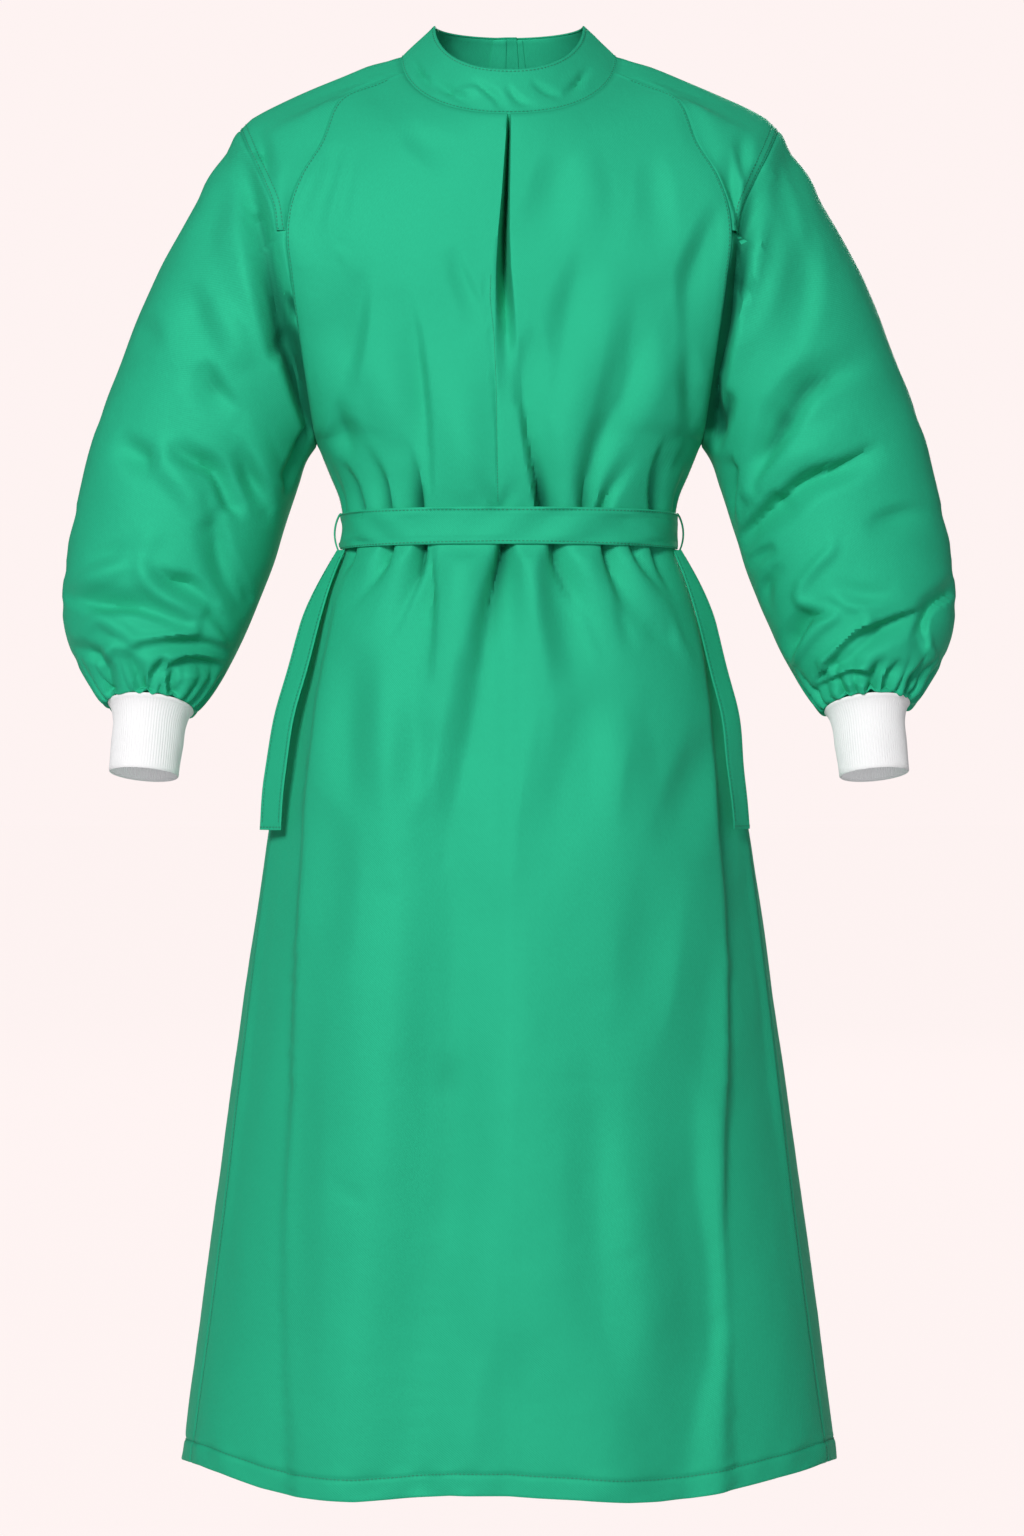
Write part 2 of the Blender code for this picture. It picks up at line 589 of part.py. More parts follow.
def straight_ends(piece, values):
    """The short ends of a yoke made straight, so that they follow the armhole between its points."""
    if piece.name.startswith("yoke"):
        starts, width = piece.starts(), len(piece.rows[0])
        for column in (0, width - 1):
            first, last = values[column], values[starts[-2] + column]
            for k in range(1, len(piece.rows) - 1):
                values[starts[k] + column] = first + (last - first) * k / (len(piece.rows) - 1)


def seam_places(pieces):
    """The pieces and point numbers that meet at each point of a seam."""
    shared = {}
    for piece in pieces:
        points = piece.points()
        for index in {i for loop in piece.borders() for i in loop}:
            shared.setdefault(tuple(np.round(points[index], 3)), []).append((piece.name, index))
    return [places for places in shared.values() if len(places) > 1]


def sew(pieces):
    """One outward direction at each seam point for pieces that face much the same way.

    In a sharp crease, as under the arm, each piece keeps its own, and the walls lie apart.
    """
    found = {piece.name: piece.normals() for piece in pieces}
    for places in seam_places(pieces):
        own = np.array([found[name][index] for name, index in places])
        near = own @ own.T > 0.35
        for (name, index), row in zip(places, near):
            found[name][index] = unit(own[row].sum(0))
    for piece in pieces:
        straight_ends(piece, found[piece.name])
    return found


def even_wall(piece, normals):
    """Inward moves that keep the wall near its thickness where the cloth bends."""
    points, faces = piece.points(), piece.triangles()
    face = unit(np.cross(points[faces[:, 1]] - points[faces[:, 0]], points[faces[:, 2]] - points[faces[:, 0]]))
    least = np.ones(len(points))
    for corner in range(3):
        np.minimum.at(least, faces[:, corner], (face * normals[faces[:, corner]]).sum(1))
    return piece.wall / np.clip(least, 0.85, 1.0)


def gap_moves(piece, normals, gap):
    """Moves that draw a piece's border back from its seams, within its surface."""
    points = piece.points()
    moves = np.zeros_like(points)
    for loop in piece.borders():
        count = len(loop)
        for k in range(count):
            here, after = loop[k], loop[(k + 1) % count]
            inward = np.cross(normals[here] + normals[after], points[after] - points[here])
            inward = inward / max(np.linalg.norm(inward), 1e-9)
            for index in (here, after):
                moves[index] += inward
    size = np.linalg.norm(moves, axis=1, keepdims=True)
    return np.where(size > 0, moves / np.maximum(size, 1e-9)**2 * 2, 0.0) * gap


def seam_moves(pieces, normals):
    """The moves that part the pieces at their seams, also where a seam lies in a sharp crease."""
    moves = {piece.name: gap_moves(piece, normals[piece.name], SEAM_GAP / 2) for piece in pieces}
    for places in seam_places(pieces):
        mean = sum(moves[name][index] for name, index in places) / len(places)
        for name, index in places:
            own = moves[name][index]
            apart = own - mean
            size = max(np.linalg.norm(apart), 1e-9)
            moves[name][index] = apart * min(np.linalg.norm(own) / size, 4.0)
    for piece in pieces:
        straight_ends(piece, moves[piece.name])
    return moves


def material(kind):
    """The material of the cloth or of the knitted cuffs."""
    made = bpy.data.materials.get(kind) or bpy.data.materials.new(kind)
    made.use_nodes = True
    shader = made.node_tree.nodes["Principled BSDF"]
    shader.inputs["Base Color"].default_value = GREEN if kind == "green_cloth" else WHITE
    shader.inputs["Roughness"].default_value = 0.62 if kind == "green_cloth" else 0.85
    shader.inputs["Metallic"].default_value = 0.0
    return made


def add_solid(name, points, faces, kind="green_cloth"):
    """A closed mesh object in the gown's collection, its faces pointing out."""
    mesh = bpy.data.meshes.new(name)
    mesh.from_pydata([tuple(float(c) * MM for c in p) for p in points], [],
                     [tuple(int(i) for i in face) for face in faces])
    bm = bmesh.new()
    bm.from_mesh(mesh)
    bmesh.ops.recalc_face_normals(bm, faces=bm.faces)
    bm.to_mesh(mesh)
    bm.free()
    mesh.shade_smooth()
    mesh.set_sharp_from_angle(angle=math.radians(50.0))
    made = bpy.data.objects.new(name, mesh)
    made.data.materials.append(material(kind))
    bpy.data.collections[NAME].objects.link(made)
    return made


def add_shell(name, outer, inner, faces, loops, kind="green_cloth"):
    """A wall between outer and inner points that share their triangles."""
    count = len(outer)
    walls = [tuple(face) for face in faces] + [tuple(i + count for i in face[::-1]) for face in faces]
    for loop in loops:
        for a, b in zip(loop, loop[1:] + loop[:1]):
            walls += [(b, a, a + count), (b, a + count, b + count)]
    return add_solid(name, np.concatenate([outer, inner]), walls, kind)


def cloth_pieces():
    """Every sewn cloth panel, with its folds, before it has a wall."""
    front, back = front_grid(), back_grid()
    yoke, sleeve = yoke_and_sleeve()
    gathers = gather_rows()
    arc = {
        "front": front[0],
        "yoke": yoke[0][RAGLAN_UPPER_STEPS:RAGLAN_UPPER_STEPS + NECK_SIDE_STEPS + 1],
        "back": back[0],
    }
    base = np.concatenate([mirrored(arc["back"]), mirrored(arc["yoke"])[::-1][1:-1], arc["front"],
                           arc["yoke"][1:-1], arc["back"][::-1]])
    base = base[np.r_[True, np.linalg.norm(np.diff(base, axis=0), axis=1) > 1e-3]]
    angles = np.degrees(np.arctan2(base[:, 0] / NECK_HALF_WIDTH,
                                   -base[:, 1] / np.where(base[:, 1] < 0, 78.0, 74.0)))
    top = np.array([neck_point(abs(a), top=True) for a in angles])
    top[:, 0] *= np.sign(angles)
    top[[0, -1], 0] = base[[0, -1], 0]
    share = even(COLLAR_STEPS)[:, None, None]
    collar = base + (top - base) * share
    pieces = [
        Piece("front", front),
        Piece("back_left", back), Piece("back_right", mirrored(back)),
        Piece("yoke_left", yoke), Piece("yoke_right", mirrored(yoke)),
        Piece("sleeve_left", sleeve + gathers, closed=True),
        Piece("sleeve_right", [mirrored(row) for row in sleeve + gathers], closed=True),
        Piece("collar", collar),
    ]
    out = {"front": (0, -1, 0), "back_left": (0, 1, 0), "back_right": (0, 1, 0)}
    for piece in pieces:
        normals, points = piece.normals(), piece.points()
        centre = points.mean(0)
        if piece.name in out:
            outward = np.array(out[piece.name], float)
            inside_out = (normals @ outward).sum() < 0
        elif piece.name.startswith("yoke"):
            inside_out = normals[:, 2].sum() < 0
        elif piece.name == "collar":
            inside_out = (normals[:, :2] * points[:, :2]).sum() < 0
        else:
            inside_out = (normals * (points - centre))[:, :2].sum() < 0
        piece.flipped = bool(inside_out)
    return pieces


def fold_pieces(pieces):
    """The folds, the pleat below the collar and the gathers at the cuffs, pressed in."""
    normals = sew(pieces)
    for piece in pieces:
        points = pressed(piece.points(), normals[piece.name])
        if piece.name == "front":
            middle = FRONT_SIDE_STEPS + 1
            starts = piece.starts()
            for k, row in enumerate(piece.rows):
                depth = pleat_at(row[:, 2].min())[1]
                for column in (middle, middle + 1):
                    points[starts[k] + column, 1] += depth
        if piece.name.startswith("sleeve"):
            count = len(GATHER_ROWS["row"])
            for k in range(count):
                row = len(piece.rows) - count + k
                first = piece.starts()[row]
                swing = GATHER_ROWS["swing"][k] * (-1.0)**np.arange(2 * CUFF_GATHERS)
                index = first + np.arange(2 * CUFF_GATHERS)
                points[index] += normals[piece.name][index] * swing[:, None]
        straight_ends(piece, points)
        piece.set_points(points)


def add_cloth(pieces):
    """The cloth solids, a seam gap apart."""
    normals = sew(pieces)
    moves = seam_moves(pieces, normals)
    inner_points = {}
    for piece in pieces:
        outer = piece.points() + moves[piece.name]
        depth = even_wall(piece, normals[piece.name])
        for loop in piece.borders():
            depth[loop] = piece.wall
        inner = outer - normals[piece.name] * depth[:, None]
        inner_points[piece.name] = inner
        add_shell(piece.name, outer, inner, piece.triangles(), piece.borders())
    return inner_points


def add_neck_tabs(collar, inner):
    """The two tabs that close the collar, inside it at the middle of the back."""
    columns = len(collar.rows[0])
    grid = inner.reshape(len(collar.rows), columns, 3)
    for name, end in (("neck_tab_left", 1), ("neck_tab_right", -1)):
        rows = []
        for share in (0.06, 0.5, 0.94):
            line = grid[0] + (grid[-1] - grid[0]) * share
            line = line[::-1] if end > 0 else line
            line = line[:8]
            run = lengths(line)
            fractions = np.array([1.0, 6.0, 11.0, NECK_TAB_WIDTH]) / run[-1]
            rows.append(spread(line, fractions))
        rows = np.array(rows)
        inward = unit(np.cross(rows[1, 1] - rows[1, 0], rows[2, 0] - rows[0, 0]))
        inward = inward if inward[1] < 0 else -inward
        piece = Piece(name, rows + inward * 0.5)
        add_shell(name, piece.points(), piece.points() + inward * 1.3, piece.triangles(), piece.borders())


def add_cuff(name, side):
    """A rib-knitted cuff: ribs raised on the outside of a plain tube."""
    top, end = np.array(CUFF_TOP), np.array(CUFF_END)
    axis = unit(end - top)
    length = np.linalg.norm(end - top)

    def ring_at(row, columns, inset):
        share = CUFF["along"][row] / length
        tip = math.radians(CUFF_TOP_TIP + (CUFF_END_TIP - CUFF_TOP_TIP) * share)
        outward = np.array([1.0, 0.0, 0.075])
        forward = np.array([0.0, -math.cos(tip), math.sin(tip)])
        t = 2 * math.pi * np.arange(columns) / columns
        ribs = RIB_HEIGHT * CUFF["rib"][row] * (-1.0)**np.arange(columns) if inset == 0 else 0.0
        radius = CUFF["radius"][row] - inset + ribs
        centre = top + axis * CUFF["along"][row]
        points = centre + np.outer(np.cos(t) * radius, outward) + np.outer(np.sin(t) * radius, forward)
        return mirrored(points) if side < 0 else points

    levels = range(len(CUFF["along"]))
    outer = Piece(name, [ring_at(row, 2 * CUFF_RIBS, 0) for row in levels], closed=True)
    inner = Piece(name, [ring_at(row, CUFF_RIBS // 2, KNIT_WALL) for row in levels], closed=True)
    points = np.concatenate([outer.points(), inner.points()])
    count = len(outer.points())
    faces = [tuple(f) for f in outer.triangles()] + [tuple(i + count for i in f[::-1]) for f in inner.triangles()]
    for row in (0, len(CUFF["along"]) - 1):
        rim = Piece(name, [outer.rows[row], inner.rows[row]], closed=True)
        starts = (outer.starts()[row], count + inner.starts()[row])
        size = len(outer.rows[row])
        for face in rim.triangles():
            faces.append(tuple(starts[0] + i if i < size else starts[1] + i - size for i in face))
    add_solid(name, points, faces, "white_knit")


def add_belt(front):
    """The belt across the front, on the panel's own points moved out."""
    grid = front_grid()
    top = RAGLAN_UPPER_STEPS + RAGLAN_LOWER_STEPS + 3
    rows = []
    for level, row in ((BELT_TOP, grid[top]), (BELT_BOTTOM, grid[top + 1])):
        middle = len(row) // 2
        keep = np.r_[1:middle - 2, middle + 2:len(row) - 1]
        rows.append(row[keep])
    rows = np.array(rows)
    out = np.array([unit(np.gradient(row, axis=0)[:, [1, 0, 2]] * np.array([1.0, -1.0, 0.0])) for row in rows])
    out *= np.sign(-out[:, len(out[0]) // 2, 1])[:, None, None]
    lift = 1.4
    piece = Piece("belt", rows + out * lift)
    add_shell("belt", piece.points(), piece.points() + out.reshape(-1, 3) * BELT_WALL,
              piece.triangles(), piece.borders())


def add_loop(name, side):
    """A belt loop: a narrow strip that stands off the side seam."""
    rows = []
    for share in np.linspace(0.0, 1.0, 7):
        level = BELT_TOP + 3.0 + (BELT_BOTTOM - BELT_TOP - 6.0) * share
        stand = 0.8 + LOOP_STAND * math.sin(math.pi * share)**0.8
        rows.append([(145.4 + stand, depth, level) for depth in (1.0, 1.0 + LOOP_WIDTH)])
    rows = np.array(rows)
    rows = mirrored(rows) if side < 0 else rows
    piece = Piece(name, rows)
    out = np.array([side * 1.0, 0.0, 0.0])
    add_shell(name, piece.points(), piece.points() + out * 1.3, piece.triangles(), piece.borders())


# The ties, down their middle: x outward, depth, level and turn of the strip's face.
TIES = {
    "tie_right": table(
        "x y z turn",
        (-148.5, -30.5, -429.0, 48.0),
        (-164.0, -42.0, -470.0, 46.0),
        (-176.0, -48.0, -515.0, 42.0),
        (-191.0, -52.0, -570.0, 40.0),
        (-203.0, -55.0, -625.0, 38.0),
        (-207.0, -57.0, -669.0, 38.0)),
    "tie_left": table(
        "x y z turn",
        (148.5, -30.5, -429.0, -48.0),
        (163.5, -42.0, -470.0, -46.0),
        (174.5, -48.0, -515.0, -46.0),
        (188.0, -52.0, -570.0, -46.0),
        (197.0, -55.0, -625.0, -50.0),
        (202.0, -57.0, -668.0, -52.0)),
}


def add_tie(name, line):
    """A waist tie: a flat strip that hangs free from the belt's end."""
    count = 12
    at = np.linspace(line["z"][0], line["z"][-1], count + 1)
    knots = -line["z"]
    path = np.stack([smooth_through(line[key], knots, -at) for key in ("x", "y")], -1)
    turn = np.radians(smooth_through(line["turn"], knots, -at))
    rows = []
    for (x, y), z, angle in zip(path, at, turn):
        across = np.array([math.cos(angle), -math.sin(angle), 0.0]) * TIE_WIDTH / 2
        centre = np.array([x, y, z])
        rows.append([centre - across, centre, centre + across])
    piece = Piece(name, rows)
    normals = piece.normals()
    normals *= np.sign(-normals[:, 1:2])
    add_shell(name, piece.points(), piece.points() + normals * CLOTH_WALL, piece.triangles(), piece.borders())


def main():
    for old in list(bpy.data.objects):
        bpy.data.objects.remove(old)
    collection = bpy.data.collections.new(NAME)
    bpy.context.scene.collection.children.link(collection)
    pieces = cloth_pieces()
    fold_pieces(pieces)
    inner = add_cloth(pieces)
    add_neck_tabs(pieces[-1], inner["collar"])
    add_cuff("cuff_left", 1)
    add_cuff("cuff_right", -1)
    add_belt(pieces[0])
    add_loop("belt_loop_left", 1)
    add_loop("belt_loop_right", -1)
    for name, line in TIES.items():
        add_tie(name, line)


main()
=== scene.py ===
"""Surgical gown: the sewn cloth, knitted cuffs, belt and ties dressed over the plain model.

Every cloth piece is a thin shell laid out from the garment's own sections and seams, with its
folds pressed in as soft strokes. Sizes in the tables are in millimetres. Folds that the
photograph shows are placed by their pixels there, seen from the photograph's camera; the rest
are placed in millimetres on the back and on the sides.
"""

import math

import bmesh
import bpy
import numpy as np
from bpy.props import FloatProperty, FloatVectorProperty, IntProperty, PointerProperty
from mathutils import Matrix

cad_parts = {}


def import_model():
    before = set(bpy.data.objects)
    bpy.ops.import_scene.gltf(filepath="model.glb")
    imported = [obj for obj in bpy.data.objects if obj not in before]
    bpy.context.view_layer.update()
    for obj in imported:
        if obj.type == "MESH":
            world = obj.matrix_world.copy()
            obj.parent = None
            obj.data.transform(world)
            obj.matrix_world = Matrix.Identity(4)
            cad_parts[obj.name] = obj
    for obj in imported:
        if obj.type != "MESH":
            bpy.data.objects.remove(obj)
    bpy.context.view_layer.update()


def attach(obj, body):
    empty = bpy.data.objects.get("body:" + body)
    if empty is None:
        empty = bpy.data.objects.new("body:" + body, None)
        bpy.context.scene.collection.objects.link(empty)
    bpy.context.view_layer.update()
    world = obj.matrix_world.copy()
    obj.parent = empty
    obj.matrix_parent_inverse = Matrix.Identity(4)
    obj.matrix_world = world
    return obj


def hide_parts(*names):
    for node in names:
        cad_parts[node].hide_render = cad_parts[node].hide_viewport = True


bl_info = {
    "name": "Surgical Gown",
    "version": (1, 0, 0),
    "blender": (4, 5, 0),
    "location": "3D Viewport > Sidebar > Gown",
    "description": "Builds a long reusable surgical gown with its folds, seams, stitches and stage",
    "category": "Add Mesh",
}

MM = 0.001
PHOTO_WIDTH, PHOTO_HEIGHT = 1024, 1536
PHOTO_PIXEL = 0.87  # millimetres at the gown's middle depth
PHOTO_MIDDLE = (509.0, 768.0)
CAMERA_AWAY = 3000.0
CAMERA_LEVEL = -616.0

NECK_HALF_WIDTH = 94.0
COLLAR_TOP_HALF_WIDTH = 64.5
BACK_OPENING = 1.0
FRONT_NECK_ANGLE = 75.0
BACK_NECK_ANGLE = 115.0
BELT_TOP = -396.0
BELT_BOTTOM = -428.0
BELT_HALF_WIDTH = 143.6
TIE_WIDTH = 24.0
LOOP_WIDTH = 8.0
LOOP_STAND = 5.5
LOOP_FOOT = 145.6
LOOP_COLUMNS = 7
NECK_TAB_WIDTH = 16.0
HEM_DEPTH = 18.0
ARMPIT_LEVEL = -335.0
SIDE_SEAM_TOP = -336.0
FRONT_NECK_DEPTH, FRONT_NECK_LEVEL, FRONT_ARMPIT_DEPTH = -78.0, -60.0, -108.0
BACK_NECK_DEPTH, BACK_NECK_LEVEL, BACK_ARMPIT_DEPTH = 74.0, -10.0, 112.0

# How far in from the edges the stitches lie
OPENING_STITCHING = 9.0
COLLAR_STITCHING = 3.2
BELT_STITCHING = 2.8
TIE_STITCHING = 2.6
TAB_STITCHING = 2.4
YOKE_STITCHING = (2.2, 7.0)
STITCH_LIFT = 0.1

GREEN_GLOSS = (0.25, 1.0, 0.65, 1.0)
KNIT_COURSE, KNIT_WALE = 0.0011, 0.0012  # metres from stitch to stitch, down and across

ROWS_UPPER = 48  # along the raglan seam to the shoulder
ROWS_LOWER = 44  # on to the armpit
ROWS_BODY = 148
COLUMNS_SIDE = 64
COLUMNS_BACK = 66
COLUMNS_NECK_SIDE = 14
ROWS_YOKE = 26
ROWS_SLEEVE = 84
ROWS_WRIST = 40
ROWS_COLLAR = 16
EDGE_COLUMNS = (0.0, 0.7, 1.6, 2.8, 4.5)
JOIN = 5.0  # how closely strokes that cross keep to the deeper of them
HEM_ROWS = (24.0, 21.5, 20.2, 19.1, 18.0, 16.9, 15.6, 13.0, 9.0, 5.0, 2.4, 1.0, 0.0)
UNEVEN_WAVES = (34.0, 48.0, 66.0, 92.0, 130.0)
PLEAT_COLUMNS = (1.0, 0.94, 0.88, 0.82, 0.76, 0.7, 0.5, 0.25)


def table(columns, *rows):
    """Rows of numbers as one array for each named column. What a row leaves off its end is 0."""
    return {name: np.array([row[i] if i < len(row) else 0 for row in rows], float)
            for i, name in enumerate(columns.split())}


# The body below the armholes. seam is the depth of the side seam, round the section's exponent.
BODY = table(
    "level half_width front back seam round",
    (-335, 166.5, 108, 112, 0, 2.4),
    (-362, 155.5, 107.5, 109.5, 0, 2.4),
    (-383, 147, 105, 104, 0, 2.4),
    (BELT_TOP, 144.5, 102, 100, 0, 2.4),
    (BELT_BOTTOM, 145, 102, 99, -2, 2.4),
    (-447, 153.5, 105.5, 103, -4, 2.35),
    (-472, 164, 109.5, 109, -6, 2.3),
    (-505, 175, 114, 115, -10, 2.3),
    (-550, 186.5, 120, 122, -14, 2.3),
    (-600, 198, 126, 129, -20, 2.25),
    (-660, 207, 133, 137, -26, 2.25),
    (-730, 217.5, 140, 146, -34, 2.25),
    (-810, 229, 148, 156, -42, 2.25),
    (-900, 242.5, 156, 165, -50, 2.2),
    (-1000, 256.5, 165, 174, -58, 2.2),
    (-1100, 270.5, 173, 181, -63, 2.2),
    (-1170, 279.5, 179, 186, -65, 2.2),
    (-1214, 285, 182, 188, -66, 2.2),
)

# Raglan seams from the collar to the armpit, on one side.
FRONT_RAGLAN = table(
    "x y z",
    (90.8, -20.2, -14),
    (115.6, -27, -26),
    (141, -37, -38),
    (161, -59, -84),
    (177, -69, -112),
    (186, -74, -138),
    (188.8, -77, -160),
    (184.5, -74, -202),
    (178, -64, -250),
    (171.5, -49, -297),
    (168, -27, -325),
    (166.5, 0, -335),
)
BACK_RAGLAN = table(
    "x y z",
    (85.2, 31.3, 0.2),
    (105, 46, -13),
    (135, 62, -37),
    (160, 77, -72),
    (177, 86, -108),
    (186, 91, -138),
    (188.8, 93, -160),
    (184.5, 91, -203),
    (178, 80, -250),
    (171.5, 59, -297),
    (168, 28, -326.5),
    (166.5, 0, -335),
)
RAGLAN_JOINT = 6

SHOULDER_SEAM = table(
    "x y z",
    (197.5, -76, -160),
    (200, -72, -141),
    (211.5, -59, -113),
    (226.5, -32, -80),
    (234, 3, -61),
    (227, 38, -80),
    (213, 68, -111),
    (201, 84, -141),
    (197.5, 91.5, -160),
)

# Sleeve sections: where each crosses the outer and the underarm edge in front view, its middle
# depth, its half depths to the front and back, and how far its front is tipped up.
SLEEVE = table(
    "outer_x outer_z inner_x inner_z depth front back tip",
    (273, -126, 176.5, -349.5, 4, 77, 80, 0),
    (312, -200, 182.5, -368, 3, 74, 76, 0),
    (343, -278, 189.5, -390, 2, 71, 73, 0),
    (364, -339, 198, -417, 0, 69, 71, 0),
    (378, -400, 207.5, -447, -4, 67, 68, 0),
    (387, -457, 220, -480, -9, 64, 65, 2),
    (384.5, -494, 232, -508, -14, 60, 61, 4),
    (374.5, -523, 243.5, -530, -19, 55, 56, 8),
    (361, -546, 256, -549.5, -24, 47, 49, 12),
    (350.5, -559.5, 267, -563.5, -28, 40.5, 41.5, 17),
    (344.5, -560, 272, -565.5, -30, 36.3, 36.3, 18),
)

# The knitted cuff, along its axis from the sleeve seam.
CUFF = table(
    "along radius rib",
    (-0.6, 34.6, 0),
    (0.2, 36.3, 0),
    (1.6, 36.6, 0.1),
    (3, 35.2, 0.5),
    (6, 33.4, 0.9),
    (14, 31, 1),
    (34, 30.2, 1),
    (54, 29.7, 1),
    (58.5, 29.8, 0.6),
    (60.8, 29.9, 0.2),
    (61.6, 29.2, 0),
)
CUFF_TOP = (308.3, -30, -562.8)
CUFF_END = (312.5, -48, -621.3)
CUFF_TOP_TIP = 18.0
CUFF_END_TIP = 12.0
CUFF_WALL = 1.9

# The inverted pleat below the collar: half its mouth, its depth, and how far it leans to the
# wearer's right.
PLEAT = table(
    "level mouth depth lean",
    (-60, 1.4, 0, 0),
    (-78, 1.6, 18, 0.4),
    (-131, 3.4, 34, 2.6),
    (-163, 5, 37, 4.2),
    (-192, 6.6, 33, 4.6),
    (-215, 8, 22, 3.8),
    (-240, 9.4, 10, 2.6),
    (-270, 11, 3.5, 1.4),
    (-330, 12.5, 0, 0.4),
)

# Folds are strokes through four points, with their depth at the start, middle and end and
# their width at the start and end. skew above 0 makes the right or lower side soft and the other
# crisp, below 0 the reverse. flat below 0 makes the bottom sharp, above 0 broad. A depth below 0
# is a ridge.
FOLD_COLUMNS = "x0 y0 x1 y1 x2 y2 x3 y3 deep0 deep1 deep2 wide0 wide1 skew flat"

